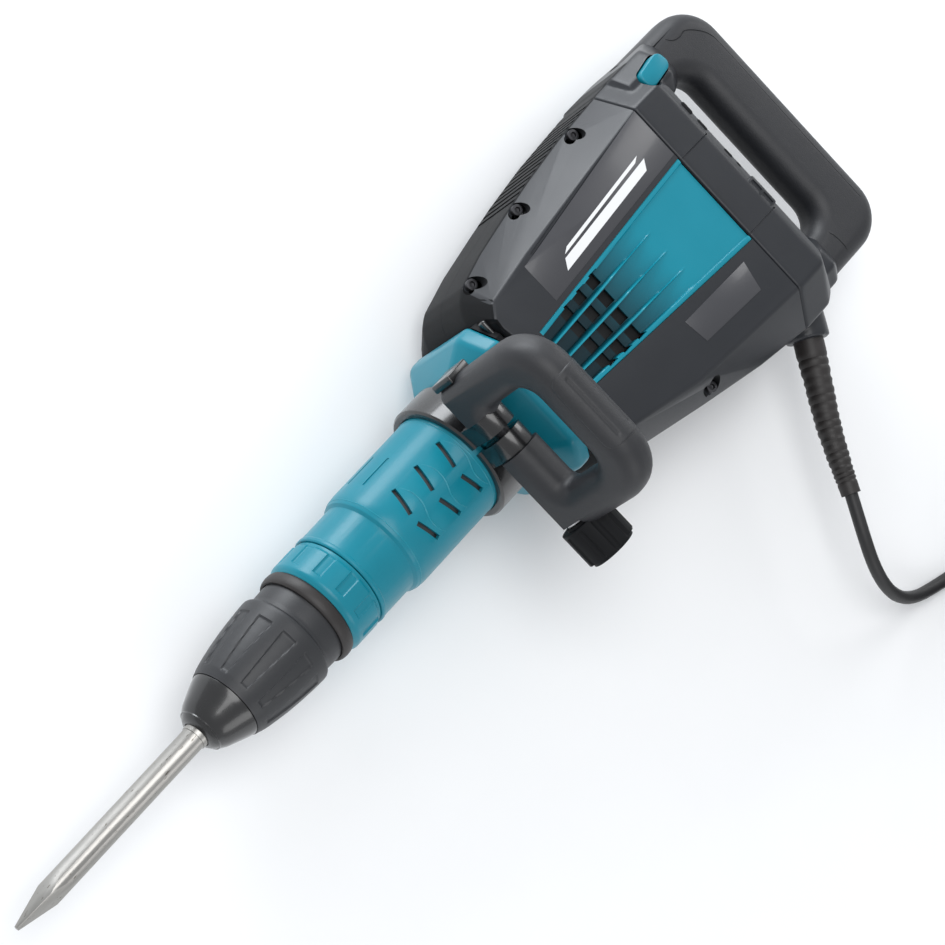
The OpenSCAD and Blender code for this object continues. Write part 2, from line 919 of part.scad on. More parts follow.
module clamp_bolt() {
    color(steel) in_tool() {
        rod_y(-104, 43.6, 5, bolt_x, bolt_z);
        translate([bolt_x, 43.6, bolt_z])
            rotate([-90, 0, 0])
                cylinder(h = 5, r = 8.5, $fn = 6);
    }
}

module clamp_washer() {
    color(steel) in_tool() tube_y(-78.2, -76.4, 12, 5.05, bolt_x, bolt_z);
}

module clamp_knob() {
    color(dark) in_tool() difference() {
        union() {
            rod_y(-106, -80, 19, bolt_x, bolt_z);
            rod_y(-108.5, -106 + eps, 16.5, bolt_x, bolt_z);
            rod_y(-80 - eps, -78.4, 14, bolt_x, bolt_z);
        }
        rod_y(-104.5, -70, 5.05, bolt_x, bolt_z);
        for (k = [0:knob_flutes - 1])
            translate([bolt_x, 0, bolt_z])
                rotate([0, k * 360 / knob_flutes, 0])
                    rod_y(-120, -82, 3, 20.7);
    }
}

// D-shaped loop; local y is the bolt and local z the reach
module side_grip() {
    y_top = 30;
    y_low = -70;
    turn_r = 22;
    z_turn = grip_reach - turn_r;
    color(dark) in_tool() at_bolt() difference() {
        union() {
            rod_y(14.3, 43, 14, 0, 0);
            rod_y(-76, -18.3, 14, 0, 0);
            rod_z(0, z_turn, grip_r, 0, y_top);
            rod_z(0, z_turn, grip_r, 0, y_low);
            rod_y(y_low + turn_r, y_top - turn_r, grip_r, 0, grip_reach);
            translate([0, y_top - turn_r, z_turn])
                rotate([0, -90, 0]) rotate_extrude(angle = 90)
                    translate([turn_r, 0]) circle(grip_r);
            translate([0, y_low + turn_r, z_turn])
                rotate([90, 0, 0]) rotate([0, -90, 0]) rotate_extrude(angle = 90)
                    translate([turn_r, 0]) circle(grip_r);
        }
        rod_y(-90, 60, 5.05, 0, 0);
        block([-20, -18.3, -20], [20, 14.3, 20]);
        block([-20, 43, -20], [20, 60, 14]);
        block([-20, -100, -20], [20, -76, 20.5]);
        side_pad_shape(0.1);
    }
}

// Oblong pad let into the top of the grip
module side_pad_shape(more) {
    difference() {
        rod_y(-52 - more, 10 + more, grip_r + 1.2 + more, 0, grip_reach);
        rod_y(-60, 20, grip_r - 2 - more, 0, grip_reach);
        block([-30, -60, 0], [30, 20, grip_reach + 4 - more]);
    }
}

module side_grip_pad() {
    color(soft) in_tool() at_bolt() side_pad_shape(0);
}

// ---------------------------------------------------------------- screws, cord and plug

module housing_screws() {
    color(steel) in_tool() {
        for (p = screw_places)
            difference() {
                union() {
                    rod_z(p[2] + 0.02, p[2] + 4, 4, p[0], p[1]);
                    rod_z(p[2] - 22, p[2] + 1, 2, p[0], p[1]);
                }
                translate([p[0], p[1], p[2] + 1.8])
                    cylinder(3, 2.3, 2.3, $fn = 6);
            }
    }
}

module cord_guard() {
    bend = [
        [-22, 0, 0], [-12, 0, 0], [-2, 0, 0], [12, -0.5, 0], [30, -1.3, 0], [48, -2.3, 0],
        [64, -2.8, 0], [80, -2.3, 0], [94, -1.5, 0], [104, -0.7, 0], [112.6, 0, 0]];
    radii = [11, 11, 11, 11, 10.6, 10, 9.2, 8.4, 7.6, 7.2, 7];
    color(soft) in_tool() along_guard() difference() {
        swept(bend, radii, 12);
        swept([for (p = bend) p[0] < 0 ? [p[0] * 1.5, 0, 0] : p[0] > 112 ? [120, 0.5, 0] : p],
            [for (p = bend) cord_d / 2 + 0.1], 8);
    }
}

module cord_clamp() {
    color("black") in_tool() block([520, -100, -12], [544, -92, 12]);
}

module free_cord(path) {
    swept(path, [for (p = path) cord_d / 2], 8);
}

module cord_tube() {
    color("black") in_tool() {
        free_cord(smooth(cord_route, 3));
        free_cord(smooth(cord_tail, 2));
    }
}

module cord_coil() {
    color("black") in_tool() translate(coil_mid)
        rotate_extrude() translate([coil_in, 0]) square([coil_out - coil_in, coil_high]);
}

module plug_body() {
    color("black") in_tool() translate(plug_at) {
        rod_x(0, 24, 17.5);
        rotate([0, 90, 0])
            translate([0, 0, -30])
                cylinder(h = 30.1, r1 = 6, r2 = 12);
    }
}

module plug_pins() {
    color("silver") in_tool() translate(plug_at)
        for (s = [-1, 1])
            rod_x(24, 43, 2.4, s * 9.5);
}

chisel();
nose_cap();
release_cover();
lock_cone();
release_spring();
rim_ring();
change_ring();
tool_holder();
retainer_upper();
retainer_lower();
impact_bolt();
striker();
cylinder_part();  // cylinder
piston();
piston_pin();
connecting_rod();
crankshaft();
crank_gear();
idler_gear();
armature_shaft();
armature_core();
commutator();
fan();
ball_bearings();
stator();
field_coils();
carbon_brushes();
brush_holders();
barrel();
barrel_cover();
crank_case();
gear_plate();
counterweight();
counterweight_springs();
housing_left();
housing_right();
side_panel_left();
side_panel_right();
rear_cover();
handle_left();
handle_right();
handle_grip();
switch_lever();
switch_body();
speed_dial();
controller();
indicator_lamps();
clamp_band();
clamp_bolt();
clamp_washer();
clamp_knob();
side_grip();
side_grip_pad();
housing_screws();
cord_guard();
cord_clamp();
cord_tube();
cord_coil();
plug_body();
plug_pins();
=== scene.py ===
import json
import math

import bmesh
import bpy
from mathutils import Matrix, Vector


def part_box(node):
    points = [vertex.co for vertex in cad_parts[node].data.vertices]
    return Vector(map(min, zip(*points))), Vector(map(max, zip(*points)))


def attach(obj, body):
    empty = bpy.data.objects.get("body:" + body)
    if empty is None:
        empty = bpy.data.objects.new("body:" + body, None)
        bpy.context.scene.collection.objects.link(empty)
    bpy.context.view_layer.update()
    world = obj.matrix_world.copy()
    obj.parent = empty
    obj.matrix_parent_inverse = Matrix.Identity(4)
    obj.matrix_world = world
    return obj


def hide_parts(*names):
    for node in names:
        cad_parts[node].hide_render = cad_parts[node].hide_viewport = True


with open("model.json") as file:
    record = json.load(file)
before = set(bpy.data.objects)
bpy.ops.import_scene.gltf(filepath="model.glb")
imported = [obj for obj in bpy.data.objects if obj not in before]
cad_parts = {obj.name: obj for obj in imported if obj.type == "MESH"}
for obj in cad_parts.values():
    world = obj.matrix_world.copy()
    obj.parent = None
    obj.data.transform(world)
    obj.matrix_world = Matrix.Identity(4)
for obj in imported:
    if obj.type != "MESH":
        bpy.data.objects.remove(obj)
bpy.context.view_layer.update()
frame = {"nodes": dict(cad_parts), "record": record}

MM = 0.001
CHISEL_REACH = 0.166
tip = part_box("chisel")[0]
barrel_low, barrel_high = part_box("barrel_cover")
# The mouth of the tool holder on the tool axis. All x, y, z below are in mm from it:
# x runs back along the tool, y up the handle's plane, z out of the side that faces up.
ZERO = Vector((tip.x + CHISEL_REACH, (barrel_low.y + barrel_high.y) / 2,
               (barrel_low.z + barrel_high.z) / 2))
SCENE = bpy.context.scene


def at(x, y, z):
    return ZERO + Vector((x, y, z)) * MM


# ------------------------------------------------------------------ camera, lights, floor

camera_data = bpy.data.cameras.new("camera")
camera_data.lens = 114.3
camera_data.sensor_width = 36.0
camera_data.clip_end = 50
camera = bpy.data.objects.new("camera", camera_data)
SCENE.collection.objects.link(camera)
right = Vector((0.609, -0.6842, 0.4011)).normalized()
back = Vector((-0.4393, 0.1301, 0.8889)).normalized()
up = back.cross(right).normalized()
right = up.cross(back)
spot = at(-608.1, 242.7, 1765.4)
camera.matrix_world = Matrix((
    (right.x, up.x, back.x, spot.x), (right.y, up.y, back.y, spot.y),
    (right.z, up.z, back.z, spot.z), (0, 0, 0, 1)))
SCENE.camera = camera
SCENE.view_settings.view_transform = "Standard"

world = bpy.data.worlds.new("studio")
world.use_nodes = True
world.node_tree.nodes["Background"].inputs["Color"].default_value = (0.96, 0.975, 1.0, 1)
world.node_tree.nodes["Background"].inputs["Strength"].default_value = 0.66
SCENE.world = world


def softbox(name, place, target, size, power, tint=(1, 1, 1)):
    data = bpy.data.lights.new(name, "AREA")
    data.shape = "RECTANGLE"
    data.size, data.size_y = size
    data.energy = power
    data.color = tint
    lamp = bpy.data.objects.new(name, data)
    SCENE.collection.objects.link(lamp)
    lamp.location = place
    lamp.rotation_euler = (Vector(target) - Vector(place)).to_track_quat("-Z", "Y").to_euler()


softbox("key", (0.75, 1.75, 0.55), (0.05, 0, 0.06), (1.5, 0.8), 32, (0.93, 0.965, 1.0))
softbox("top", (-0.35, 0.35, 2.1), (0.0, 0, 0), (1.5, 1.2), 20)
softbox("fill", (-0.6, -1.7, 1.0), (0.1, 0, 0.05), (1.2, 0.8), 6)
softbox("rim", (1.7, 0.1, 0.9), (0.2, 0, 0.05), (0.5, 1.0), 6)


# ------------------------------------------------------------------ materials

def node(tree, kind, **values):
    n = tree.nodes.new(kind)
    for key, value in values.items():
        if key in n.inputs:
            n.inputs[key].default_value = value
        else:
            setattr(n, key, value)
    return n


def skin(name, colour, rough, metal=0.0, grain=1500.0, bump=0.1, cloud=22.0, shade=0.14,
         spread=0.08, stretch=(1, 1, 1), coat=0.0, wear=None, specks=None, coarse=None,
         spec=0.5, recess_shade=None):
    """A procedural surface: fine grain as bump, slow clouds in colour and roughness.

    wear is the colour of rubbed edges, specks is (amount, colour, size), coarse is the scale of a
    second bump, and the last one, (floor z, crest z, colour), is painted shade: it darkens the
    colour towards the floor of the hollows under the flat sides.
    """
    m = bpy.data.materials.new(name)
    m.use_nodes = True
    t = m.node_tree
    p = t.nodes["Principled BSDF"]
    p.inputs["Metallic"].default_value = metal
    p.inputs["Coat Weight"].default_value = coat
    p.inputs["Specular IOR Level"].default_value = spec
    p.inputs["Coat Roughness"].default_value = 0.12
    coord = node(t, "ShaderNodeTexCoord")
    place = node(t, "ShaderNodeMapping", Scale=stretch)
    t.links.new(coord.outputs["Object"], place.inputs["Vector"])
    fine = node(t, "ShaderNodeTexNoise", Scale=grain, Detail=4.0, Roughness=0.6)
    slow = node(t, "ShaderNodeTexNoise", Scale=cloud, Detail=5.0, Roughness=0.6)
    for n in (fine, slow):
        t.links.new(place.outputs["Vector"], n.inputs["Vector"])
    dark = [c * (1 - shade) for c in colour] + [1]
    light = [min(1, c * (1 + shade)) for c in colour] + [1]
    mix = node(t, "ShaderNodeMix", data_type="RGBA")
    mix.inputs["A"].default_value = dark
    mix.inputs["B"].default_value = light
    t.links.new(slow.outputs["Fac"], mix.inputs["Factor"])
    paint = mix.outputs["Result"]
    if specks:
        amount, speck_colour, size = specks
        dots = node(t, "ShaderNodeTexNoise", Scale=size, Detail=2.0, Roughness=0.7)
        t.links.new(place.outputs["Vector"], dots.inputs["Vector"])
        ramp = node(t, "ShaderNodeMapRange")
        ramp.inputs["From Min"].default_value = 1 - amount
        ramp.inputs["From Max"].default_value = 1 - amount + 0.08
        t.links.new(dots.outputs["Fac"], ramp.inputs["Value"])
        over = node(t, "ShaderNodeMix", data_type="RGBA")
        over.inputs["B"].default_value = list(speck_colour) + [1]
        t.links.new(paint, over.inputs["A"])
        t.links.new(ramp.outputs["Result"], over.inputs["Factor"])
        paint = over.outputs["Result"]
    if wear:
        geometry = node(t, "ShaderNodeNewGeometry")
        edge = node(t, "ShaderNodeMapRange")
        edge.inputs["From Min"].default_value = 0.53
        edge.inputs["From Max"].default_value = 0.62
        edge.inputs["To Max"].default_value = 0.55
        t.links.new(geometry.outputs["Pointiness"], edge.inputs["Value"])
        rub = node(t, "ShaderNodeMix", data_type="RGBA")
        rub.inputs["B"].default_value = list(wear) + [1]
        t.links.new(paint, rub.inputs["A"])
        t.links.new(edge.outputs["Result"], rub.inputs["Factor"])
        paint = rub.outputs["Result"]
    # Painted shade: the colour darkens from the crest height down to the floor of the hollows.
    if recess_shade:
        floor_z, crest_z, recess_shade_colour = recess_shade
        parts = node(t, "ShaderNodeSeparateXYZ")
        t.links.new(coord.outputs["Object"], parts.inputs["Vector"])
        from_axis = node(t, "ShaderNodeMath", operation="SUBTRACT")
        from_axis.inputs[1].default_value = ZERO.z
        t.links.new(parts.outputs["Z"], from_axis.inputs[0])
        size = node(t, "ShaderNodeMath", operation="ABSOLUTE")
        t.links.new(from_axis.outputs[0], size.inputs[0])
        share = node(t, "ShaderNodeMapRange")
        share.inputs["From Min"].default_value = crest_z * MM
        share.inputs["From Max"].default_value = floor_z * MM
        t.links.new(size.outputs[0], share.inputs["Value"])
        low = node(t, "ShaderNodeMix", data_type="RGBA")
        low.inputs["B"].default_value = list(recess_shade_colour) + [1]
        t.links.new(paint, low.inputs["A"])
        t.links.new(share.outputs["Result"], low.inputs["Factor"])
        paint = low.outputs["Result"]
    t.links.new(paint, p.inputs["Base Color"])
    level = node(t, "ShaderNodeMapRange")
    level.inputs["To Min"].default_value = rough - spread
    level.inputs["To Max"].default_value = rough + spread
    t.links.new(slow.outputs["Fac"], level.inputs["Value"])
    t.links.new(level.outputs["Result"], p.inputs["Roughness"])
    relief = node(t, "ShaderNodeBump", Strength=bump, Distance=0.0004)
    t.links.new(fine.outputs["Fac"], relief.inputs["Height"])
    if coarse:
        wide = node(t, "ShaderNodeTexNoise", Scale=coarse, Detail=3.0)
        t.links.new(place.outputs["Vector"], wide.inputs["Vector"])
        first = node(t, "ShaderNodeBump", Strength=0.12, Distance=0.001)
        t.links.new(wide.outputs["Fac"], first.inputs["Height"])
        t.links.new(first.outputs["Normal"], relief.inputs["Normal"])
    t.links.new(relief.outputs["Normal"], p.inputs["Normal"])
    return m


TEAL = skin("teal_nylon", (0.0035, 0.188, 0.258), 0.33, grain=2200, bump=0.07, shade=0.10,
            coat=0.06, spec=0.3, wear=(0.03, 0.34, 0.43))
# The side panel's teal, with painted shade darkening the hollows at its front.
TEAL_SIDE = skin("teal_panel_nylon", (0.003, 0.200, 0.275), 0.33, grain=2200, bump=0.07,
                 shade=0.08, coat=0.06, spec=0.3, wear=(0.03, 0.36, 0.45),
                 recess_shade=(50.5, 58.2, (0.001, 0.022, 0.032)))
DARK = skin("dark_nylon", (0.0130, 0.0150, 0.0190), 0.38, grain=1900, bump=0.14, shade=0.12,
            coat=0.05, spec=0.42, wear=(0.045, 0.046, 0.052))
# A darker, less glossy black: the own colour of the knob, dial and fan, and painted shade where it
# is laid on the housing's top and front.
DARK_LOW = skin("dark_nylon_shadow", (0.0075, 0.008, 0.009), 0.55, grain=1900, bump=0.14,
                shade=0.12, spec=0.12)
LABEL = skin("label_foil", (0.036, 0.037, 0.043), 0.36, grain=900, bump=0.03, shade=0.08, coat=0.3)
GRIP = skin("grip_rubber", (0.0150, 0.0160, 0.0190), 0.48, grain=1300, bump=0.35, shade=0.14,
            coarse=160, specks=(0.30, (0.026, 0.027, 0.031), 420))
SATIN = skin("release_rubber", (0.0170, 0.0185, 0.0215), 0.46, grain=1100, bump=0.22, shade=0.12,
             wear=(0.035, 0.035, 0.038))
BLACK = skin("gloss_black", (0.0075, 0.0077, 0.0085), 0.26, grain=700, bump=0.04, shade=0.25,
             coat=0.5)
RIM = skin("rim_rubber", (0.015, 0.0125, 0.012), 0.5, grain=1100, bump=0.2, shade=0.2)
# Near black for the sheet behind the louvres: painted shade.
PAINTED_HOLLOW_SHADE = skin("hollow", (0.006, 0.007, 0.008), 0.75, grain=800, bump=0.1)
CHISEL = skin("chisel_steel", (0.36, 0.352, 0.335), 0.36, metal=1.0, grain=420, bump=0.16, cloud=30,
              shade=0.22, spread=0.1, stretch=(0.25, 1, 1), specks=(0.36, (0.13, 0.118, 0.10), 520),
              coarse=90)
STEEL = skin("machined_steel", (0.56, 0.56, 0.57), 0.3, metal=1.0, grain=900, bump=0.1,
             stretch=(1, 0.2, 1))
DARK_STEEL = skin("dark_steel", (0.06, 0.06, 0.065), 0.5, metal=0.9, grain=900, bump=0.15)
SPRING = skin("spring_steel", (0.33, 0.33, 0.35), 0.35, metal=1.0, grain=700, bump=0.1)
ALLOY = skin("cast_alloy", (0.62, 0.63, 0.64), 0.45, metal=1.0, grain=600, bump=0.3, shade=0.1)
# The barrel's alloy, darkened as painted shade under the cover where it shows through the slots.
SHADED_ALLOY = skin("cast_alloy_painted_shade", (0.075, 0.077, 0.08), 0.55, metal=0.7, grain=600,
                    bump=0.3, shade=0.1)
LAMINATE = skin("laminations", (0.22, 0.22, 0.23), 0.5, metal=0.8, grain=60, bump=0.3,
                stretch=(1, 60, 1))
COPPER = skin("copper", (0.70, 0.27, 0.12), 0.35, metal=1.0, grain=400, bump=0.25,
              stretch=(1, 30, 1))
CARBON = skin("carbon", (0.03, 0.03, 0.03), 0.6, grain=900, bump=0.2)
BRASS = skin("pin_brass", (0.72, 0.58, 0.33), 0.25, metal=1.0, grain=900, bump=0.06)
CORD = skin("cord_rubber", (0.011, 0.011, 0.0118), 0.5, grain=900, bump=0.3, shade=0.2)
LAMP = skin("lamp_lens", (0.05, 0.052, 0.062), 0.25, grain=500, bump=0.04, coat=0.4)
LETTER = skin("pale_print", (0.72, 0.73, 0.74), 0.4, grain=1400, bump=0.06, shade=0.04)

CAD_LOOKS = {
    "chisel": CHISEL, "nose_cap": BLACK, "release_cover": SATIN, "lock_cone": DARK_STEEL,
    "release_spring": SPRING, "rim_ring": RIM, "change_ring": TEAL, "tool_holder": DARK_STEEL,
    "retainer_upper": STEEL, "retainer_lower": STEEL, "impact_bolt": STEEL, "striker": STEEL,
    "cylinder": STEEL, "piston": ALLOY, "piston_pin": STEEL, "connecting_rod": DARK_STEEL,
    "crankshaft": STEEL, "crank_gear": STEEL, "idler_gear": STEEL, "armature_shaft": STEEL,
    "armature_core": LAMINATE, "commutator": COPPER, "fan": DARK_LOW, "ball_bearings": STEEL,
    "stator": LAMINATE, "field_coils": COPPER, "carbon_brushes": CARBON, "brush_holders": BRASS,
    "barrel": SHADED_ALLOY, "barrel_cover": TEAL, "crank_case": TEAL, "gear_plate": ALLOY,
    "counterweight": DARK_STEEL, "counterweight_springs": SPRING, "housing_left": DARK,
    "housing_right": DARK, "side_panel_left": TEAL, "side_panel_right": TEAL, "rear_cover": DARK,
    "handle_left": DARK, "handle_right": DARK, "handle_grip": GRIP, "switch_lever": TEAL,
    "switch_body": BLACK, "speed_dial": DARK_LOW, "controller": BLACK, "indicator_lamps": LAMP,
    "clamp_band": BLACK, "clamp_bolt": STEEL, "clamp_washer": STEEL, "clamp_knob": DARK_LOW,
    "side_grip": GRIP, "side_grip_pad": GRIP, "housing_screws": DARK_STEEL, "cord_guard": RIM,
    "cord_clamp": BLACK, "cord_tube": CORD, "cord_coil": CORD, "plug_body": CORD,
    "plug_pins": BRASS}
for name, look in CAD_LOOKS.items():
    thing = frame["nodes"][name]
    thing.data.materials.clear()
    thing.data.materials.append(look)
    for face in thing.data.polygons:
        face.use_smooth = False
SLOT_OF = {e["node"]: e["material_slot"] for e in frame["record"]["subparts"]}
BODY_OF = {n: b for b, ns in frame["record"]["behaviour"]["bodies"].items() for n in ns}


# ------------------------------------------------------------------ mesh helpers

def new_object(name, bm):
    mesh = bpy.data.meshes.new(name)
    bm.to_mesh(mesh)
    bm.free()
    obj = bpy.data.objects.new(name, mesh)
    SCENE.collection.objects.link(obj)
    return obj


def from_lists(name, points, faces):
    """A mesh from places in the frame and faces given as tuples of point numbers."""
    bm = bmesh.new()
    made = [bm.verts.new(p) for p in points]
    for f in faces:
        bm.faces.new([made[i] for i in f])
    bmesh.ops.recalc_face_normals(bm, faces=bm.faces)
    return new_object(name, bm)


def apply_all(obj):
    bpy.context.view_layer.update()
    graph = bpy.context.evaluated_depsgraph_get()
    mesh = bpy.data.meshes.new_from_object(obj.evaluated_get(graph))
    obj.modifiers.clear()
    old = obj.data
    obj.data = mesh
    bpy.data.meshes.remove(old)
    return obj


def shaded(obj, angle=35):
    bm = bmesh.new()
    bm.from_mesh(obj.data)
    limit = math.radians(angle)
    for f in bm.faces:
        f.smooth = True
    for e in bm.edges:
        e.smooth = not (len(e.link_faces) == 2 and e.calc_face_angle(0) > limit)
    bm.to_mesh(obj.data)
    bm.free()
    return obj


def bevelled(obj, width, segments=3, angle=30):
    mod = obj.modifiers.new("edge", "BEVEL")
    mod.width = width * MM
    mod.segments = segments
    mod.limit_method = "ANGLE"
    mod.angle_limit = math.radians(angle)
    mod.harden_normals = False
    return apply_all(obj)


def boolean(obj, cutter, operation="DIFFERENCE"):
    """Cuts with the other object, or joins or keeps the overlap, and uses it up."""
    mod = obj.modifiers.new("cut", "BOOLEAN")
    mod.operation = operation
    mod.solver = "EXACT"
    mod.object = cutter
    apply_all(obj)
    bpy.data.objects.remove(cutter)
    return obj


def joined(name, objs):
    bm = bmesh.new()
    for o in objs:
        bm.from_mesh(o.data)
        bpy.data.objects.remove(o)
    return new_object(name, bm)


def remeshed(obj, size, rounds):
    mod = obj.modifiers.new("voxels", "REMESH")
    mod.mode = "VOXEL"
    mod.voxel_size = size * MM
    soft = obj.modifiers.new("soft", "SMOOTH")
    soft.factor = 0.5
    soft.iterations = rounds
    return apply_all(obj)


def settle(obj, body, look, replaces=(), slot=None, angle=35):
    """The piece's last steps: shading, material, body, and the nodes that it stands for."""
    if obj.type == "MESH":
        shaded(obj, angle)
    obj.data.materials.clear()
    obj.data.materials.append(look)
    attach(obj, body)
    if replaces:
        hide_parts(*replaces)
        slot = slot or SLOT_OF[replaces[0]]
    return obj


def hull_of(name, points):
    """The convex hull of points in mm."""
    bm = bmesh.new()
    for p in points:
        bm.verts.new(at(*p))
    bmesh.ops.convex_hull(bm, input=bm.verts)
    loose = [v for v in bm.verts if not v.link_faces]
    bmesh.ops.delete(bm, geom=loose, context="VERTS")
    bmesh.ops.dissolve_limit(bm, angle_limit=math.radians(1), verts=bm.verts, edges=bm.edges)
    bmesh.ops.recalc_face_normals(bm, faces=bm.faces)
    return new_object(name, bm)


def box_of(name, low, high, turn=None, pivot=None):
    points = [(x, y, z) for x in (low[0], high[0]) for y in (low[1], high[1])
              for z in (low[2], high[2])]
    if turn is not None:
        c = Vector(pivot if pivot else [(a + b) / 2 for a, b in zip(low, high)])
        points = [tuple(turn @ (Vector(p) - c) + c) for p in points]
    return hull_of(name, points)


def ring_faces(rows, sides):
    """Side faces between rows of points and a cap at each end."""
    faces = []
    for i in range(rows - 1):
        for k in range(sides):
            j = (k + 1) % sides
            faces.append((i * sides + k, i * sides + j, (i + 1) * sides + j, (i + 1) * sides + k))
    return faces + [tuple(range(sides))[::-1], tuple(range((rows - 1) * sides, rows * sides))]


def rod_of(name, a, b, r0, r1=None, sides=32):
    """A closed cylinder or cone from a to b."""
    a, b = Vector(a), Vector(b)
    r1 = r0 if r1 is None else r1
    d = (b - a).normalized()
    u = d.orthogonal().normalized()
    v = d.cross(u)
    points = []
    for end, r in ((a, r0), (b, r1)):
        for k in range(sides):
            t = 2 * math.pi * k / sides
            points.append(at(*(end + r * (math.cos(t) * u + math.sin(t) * v))))
    return from_lists(name, points, ring_faces(2, sides))


def prism_of(name, outline, z0, z1):
    """An x, y outline drawn out from z0 to z1."""
    points = [at(x, y, z) for z in (z0, z1) for x, y in outline]
    return from_lists(name, points, ring_faces(2, len(outline)))


def tube_of(name, path, radius, sides=12):
    """A closed tube through points in mm. radius is a number or a function of the share passed."""
    path = [Vector(p) for p in path]
    n = len(path)
    d0 = (path[1] - path[0]).normalized()
    u = d0.orthogonal().normalized()
    points = []
    for i, p in enumerate(path):
        d = (path[min(i + 1, n - 1)] - path[max(i - 1, 0)]).normalized()
        u = (u - d * u.dot(d)).normalized()
        v = d.cross(u)
        r = radius(i / (n - 1)) if callable(radius) else radius
        for k in range(sides):
            t = 2 * math.pi * k / sides
            points.append(at(*(p + r * (math.cos(t) * u + math.sin(t) * v))))
    return from_lists(name, points, ring_faces(n, sides))


def lathe_of(name, profile, sides=128, relief=None):
    """A closed [x, r] profile turned round the tool axis. relief(x, angle, r) gives the radius."""
    n = len(profile)
    points, faces = [], []
    for k in range(sides):
        t = 2 * math.pi * k / sides
        for x, r in profile:
            rr = relief(x, t, r) if relief else r
            points.append(at(x, rr * math.sin(t), rr * math.cos(t)))
    for k in range(sides):
        j = (k + 1) % sides
        for i in range(n):
            h = (i + 1) % n
            faces.append((k * n + i, k * n + h, j * n + h, j * n + i))
    return from_lists(name, points, faces)


def curve_points(points, steps):
    """Catmull-Rom points through the given ones."""
    points = [Vector(p) for p in points]
    out = []
    for i in range(len(points) - 1):
        a, b = points[max(i - 1, 0)], points[i]
        c, d = points[i + 1], points[min(i + 2, len(points) - 1)]
        for s in range(steps):
            t = s / steps
            out.append(0.5 * (2 * b + (c - a) * t + (2 * a - 5 * b + 4 * c - d) * t * t
                              + (3 * b - a - 3 * c + d) * t ** 3))
    return out + [points[-1]]


def refined(name, node_name, width=0.5, segments=2, angle=30, look=None):
    """A copy of a CAD node's surface with rounded edges, which stands for the node."""
    bm = bmesh.new()
    bm.from_mesh(frame["nodes"][node_name].data)
    bmesh.ops.remove_doubles(bm, verts=bm.verts, dist=1e-6)
    bmesh.ops.dissolve_limit(bm, angle_limit=math.radians(0.6), verts=bm.verts, edges=bm.edges)
    obj = new_object(name, bm)
    bevelled(obj, width, segments, angle)
    return settle(obj, BODY_OF[node_name], look or CAD_LOOKS[node_name], [node_name])


def step(edge, width, value):
    """0 to 1 as value passes edge, eased over width."""
    t = min(1.0, max(0.0, (value - edge) / width + 0.5))
    return t * t * (3 - 2 * t)


# ------------------------------------------------------------------ cord, coil and plug

CORD_R = 4.75
FLOOR_Z = -60
# The stretch from the guard down to the coil, and the one from the coil to the plug
ROUTE = [
    (467, -223, 0), (459, -236.5, 0), (451, -252, -1.5), (446.5, -268, -7), (447, -284, -16),
    (453, -299, -27.5), (464, -312, -39), (479, -322, -48), (497, -329, -53.5),
    (517, -335, -55.1), (537, -341, -55.1), (557, -347, -55.1), (577, -353, -55.1)]
TAIL = [
    (534, -376, -20.5), (543, -371, -17), (551.5, -366, -13.8), (560, -361, -12.8),
    (577, -351, -12.8), (594, -341.5, -15), (610, -333.5, -23), (624, -328, -33),
    (638, -325, -40.5), (652, -324, -42.5)]
COIL = (558.7, -414.5)
COIL_LAYERS = (3, 2, 3, 2, 3)
TURN_STEPS = 28
LAST_TURN_STEPS = 21


def coil_path():
    """Thirteen turns in five nested layers, wound inwards and outwards in turn, from the floor."""
    d = 2 * CORD_R
    mean, start = 5.75 * d, math.atan2(-353 + 414.5, 577 - 558.7)
    radii = []
    for n, count in enumerate(COIL_LAYERS):
        ring = [mean + (k - (count - 1) / 2) * d for k in range(count)]
        if n % 2 == 0:
            ring = ring[::-1]
        radii += [(r, FLOOR_Z + CORD_R + n * d * math.sin(math.radians(60))) for r in ring]
    out = []
    for i, (r, z) in enumerate(radii):
        last = i == len(radii) - 1
        r2, z2 = (r, z) if last else radii[i + 1]
        for s in range(LAST_TURN_STEPS if last else TURN_STEPS):
            share = s / TURN_STEPS
            ease = 0 if last else step(0.86, 0.26, share)
            a = start - 2 * math.pi * share
            rr, zz = r + (r2 - r) * ease, z + (z2 - z) * ease
            out.append((COIL[0] + rr * math.cos(a), COIL[1] + rr * math.sin(a), zz))
    return out


whole = curve_points(ROUTE, 3)[:-2] + [Vector(p) for p in coil_path()]
tail = curve_points(TAIL, 2)
whole += tail[1:]
data = bpy.data.curves.new("mains_cord", "CURVE")
data.dimensions = "3D"
data.bevel_depth = CORD_R * MM
data.bevel_resolution = 4
data.use_fill_caps = True
spline = data.splines.new("POLY")
spline.points.add(len(whole) - 1)
for q, p in zip(spline.points, whole):
    q.co = (*at(*p), 1)
cord = bpy.data.objects.new("mains_cord", data)
SCENE.collection.objects.link(cord)
settle(cord, "hammer", CORD, ["cord_tube", "cord_coil"])

PLUG = Vector((682, -324, -42.5))


def plug_profile():
    """The plug's [x, r] outline: a ribbed sleeve for the cord, then the head."""
    sleeve = 30
    out = []
    for i in range(sleeve + 1):
        x = i - sleeve
        rib = 0.9 if i % 4 in (1, 2) and i < 26 else 0
        out.append((x, 6.2 + 5.6 * step(-14, 30, x) + rib))
    return out + [(0.6, 13.5), (2, 16.6), (4, 17.4), (15, 17.4), (17, 16.9), (18, 17.2),
                  (22.5, 17.2), (24, 16.2), (24, 0.01), (-sleeve, 0.01)]


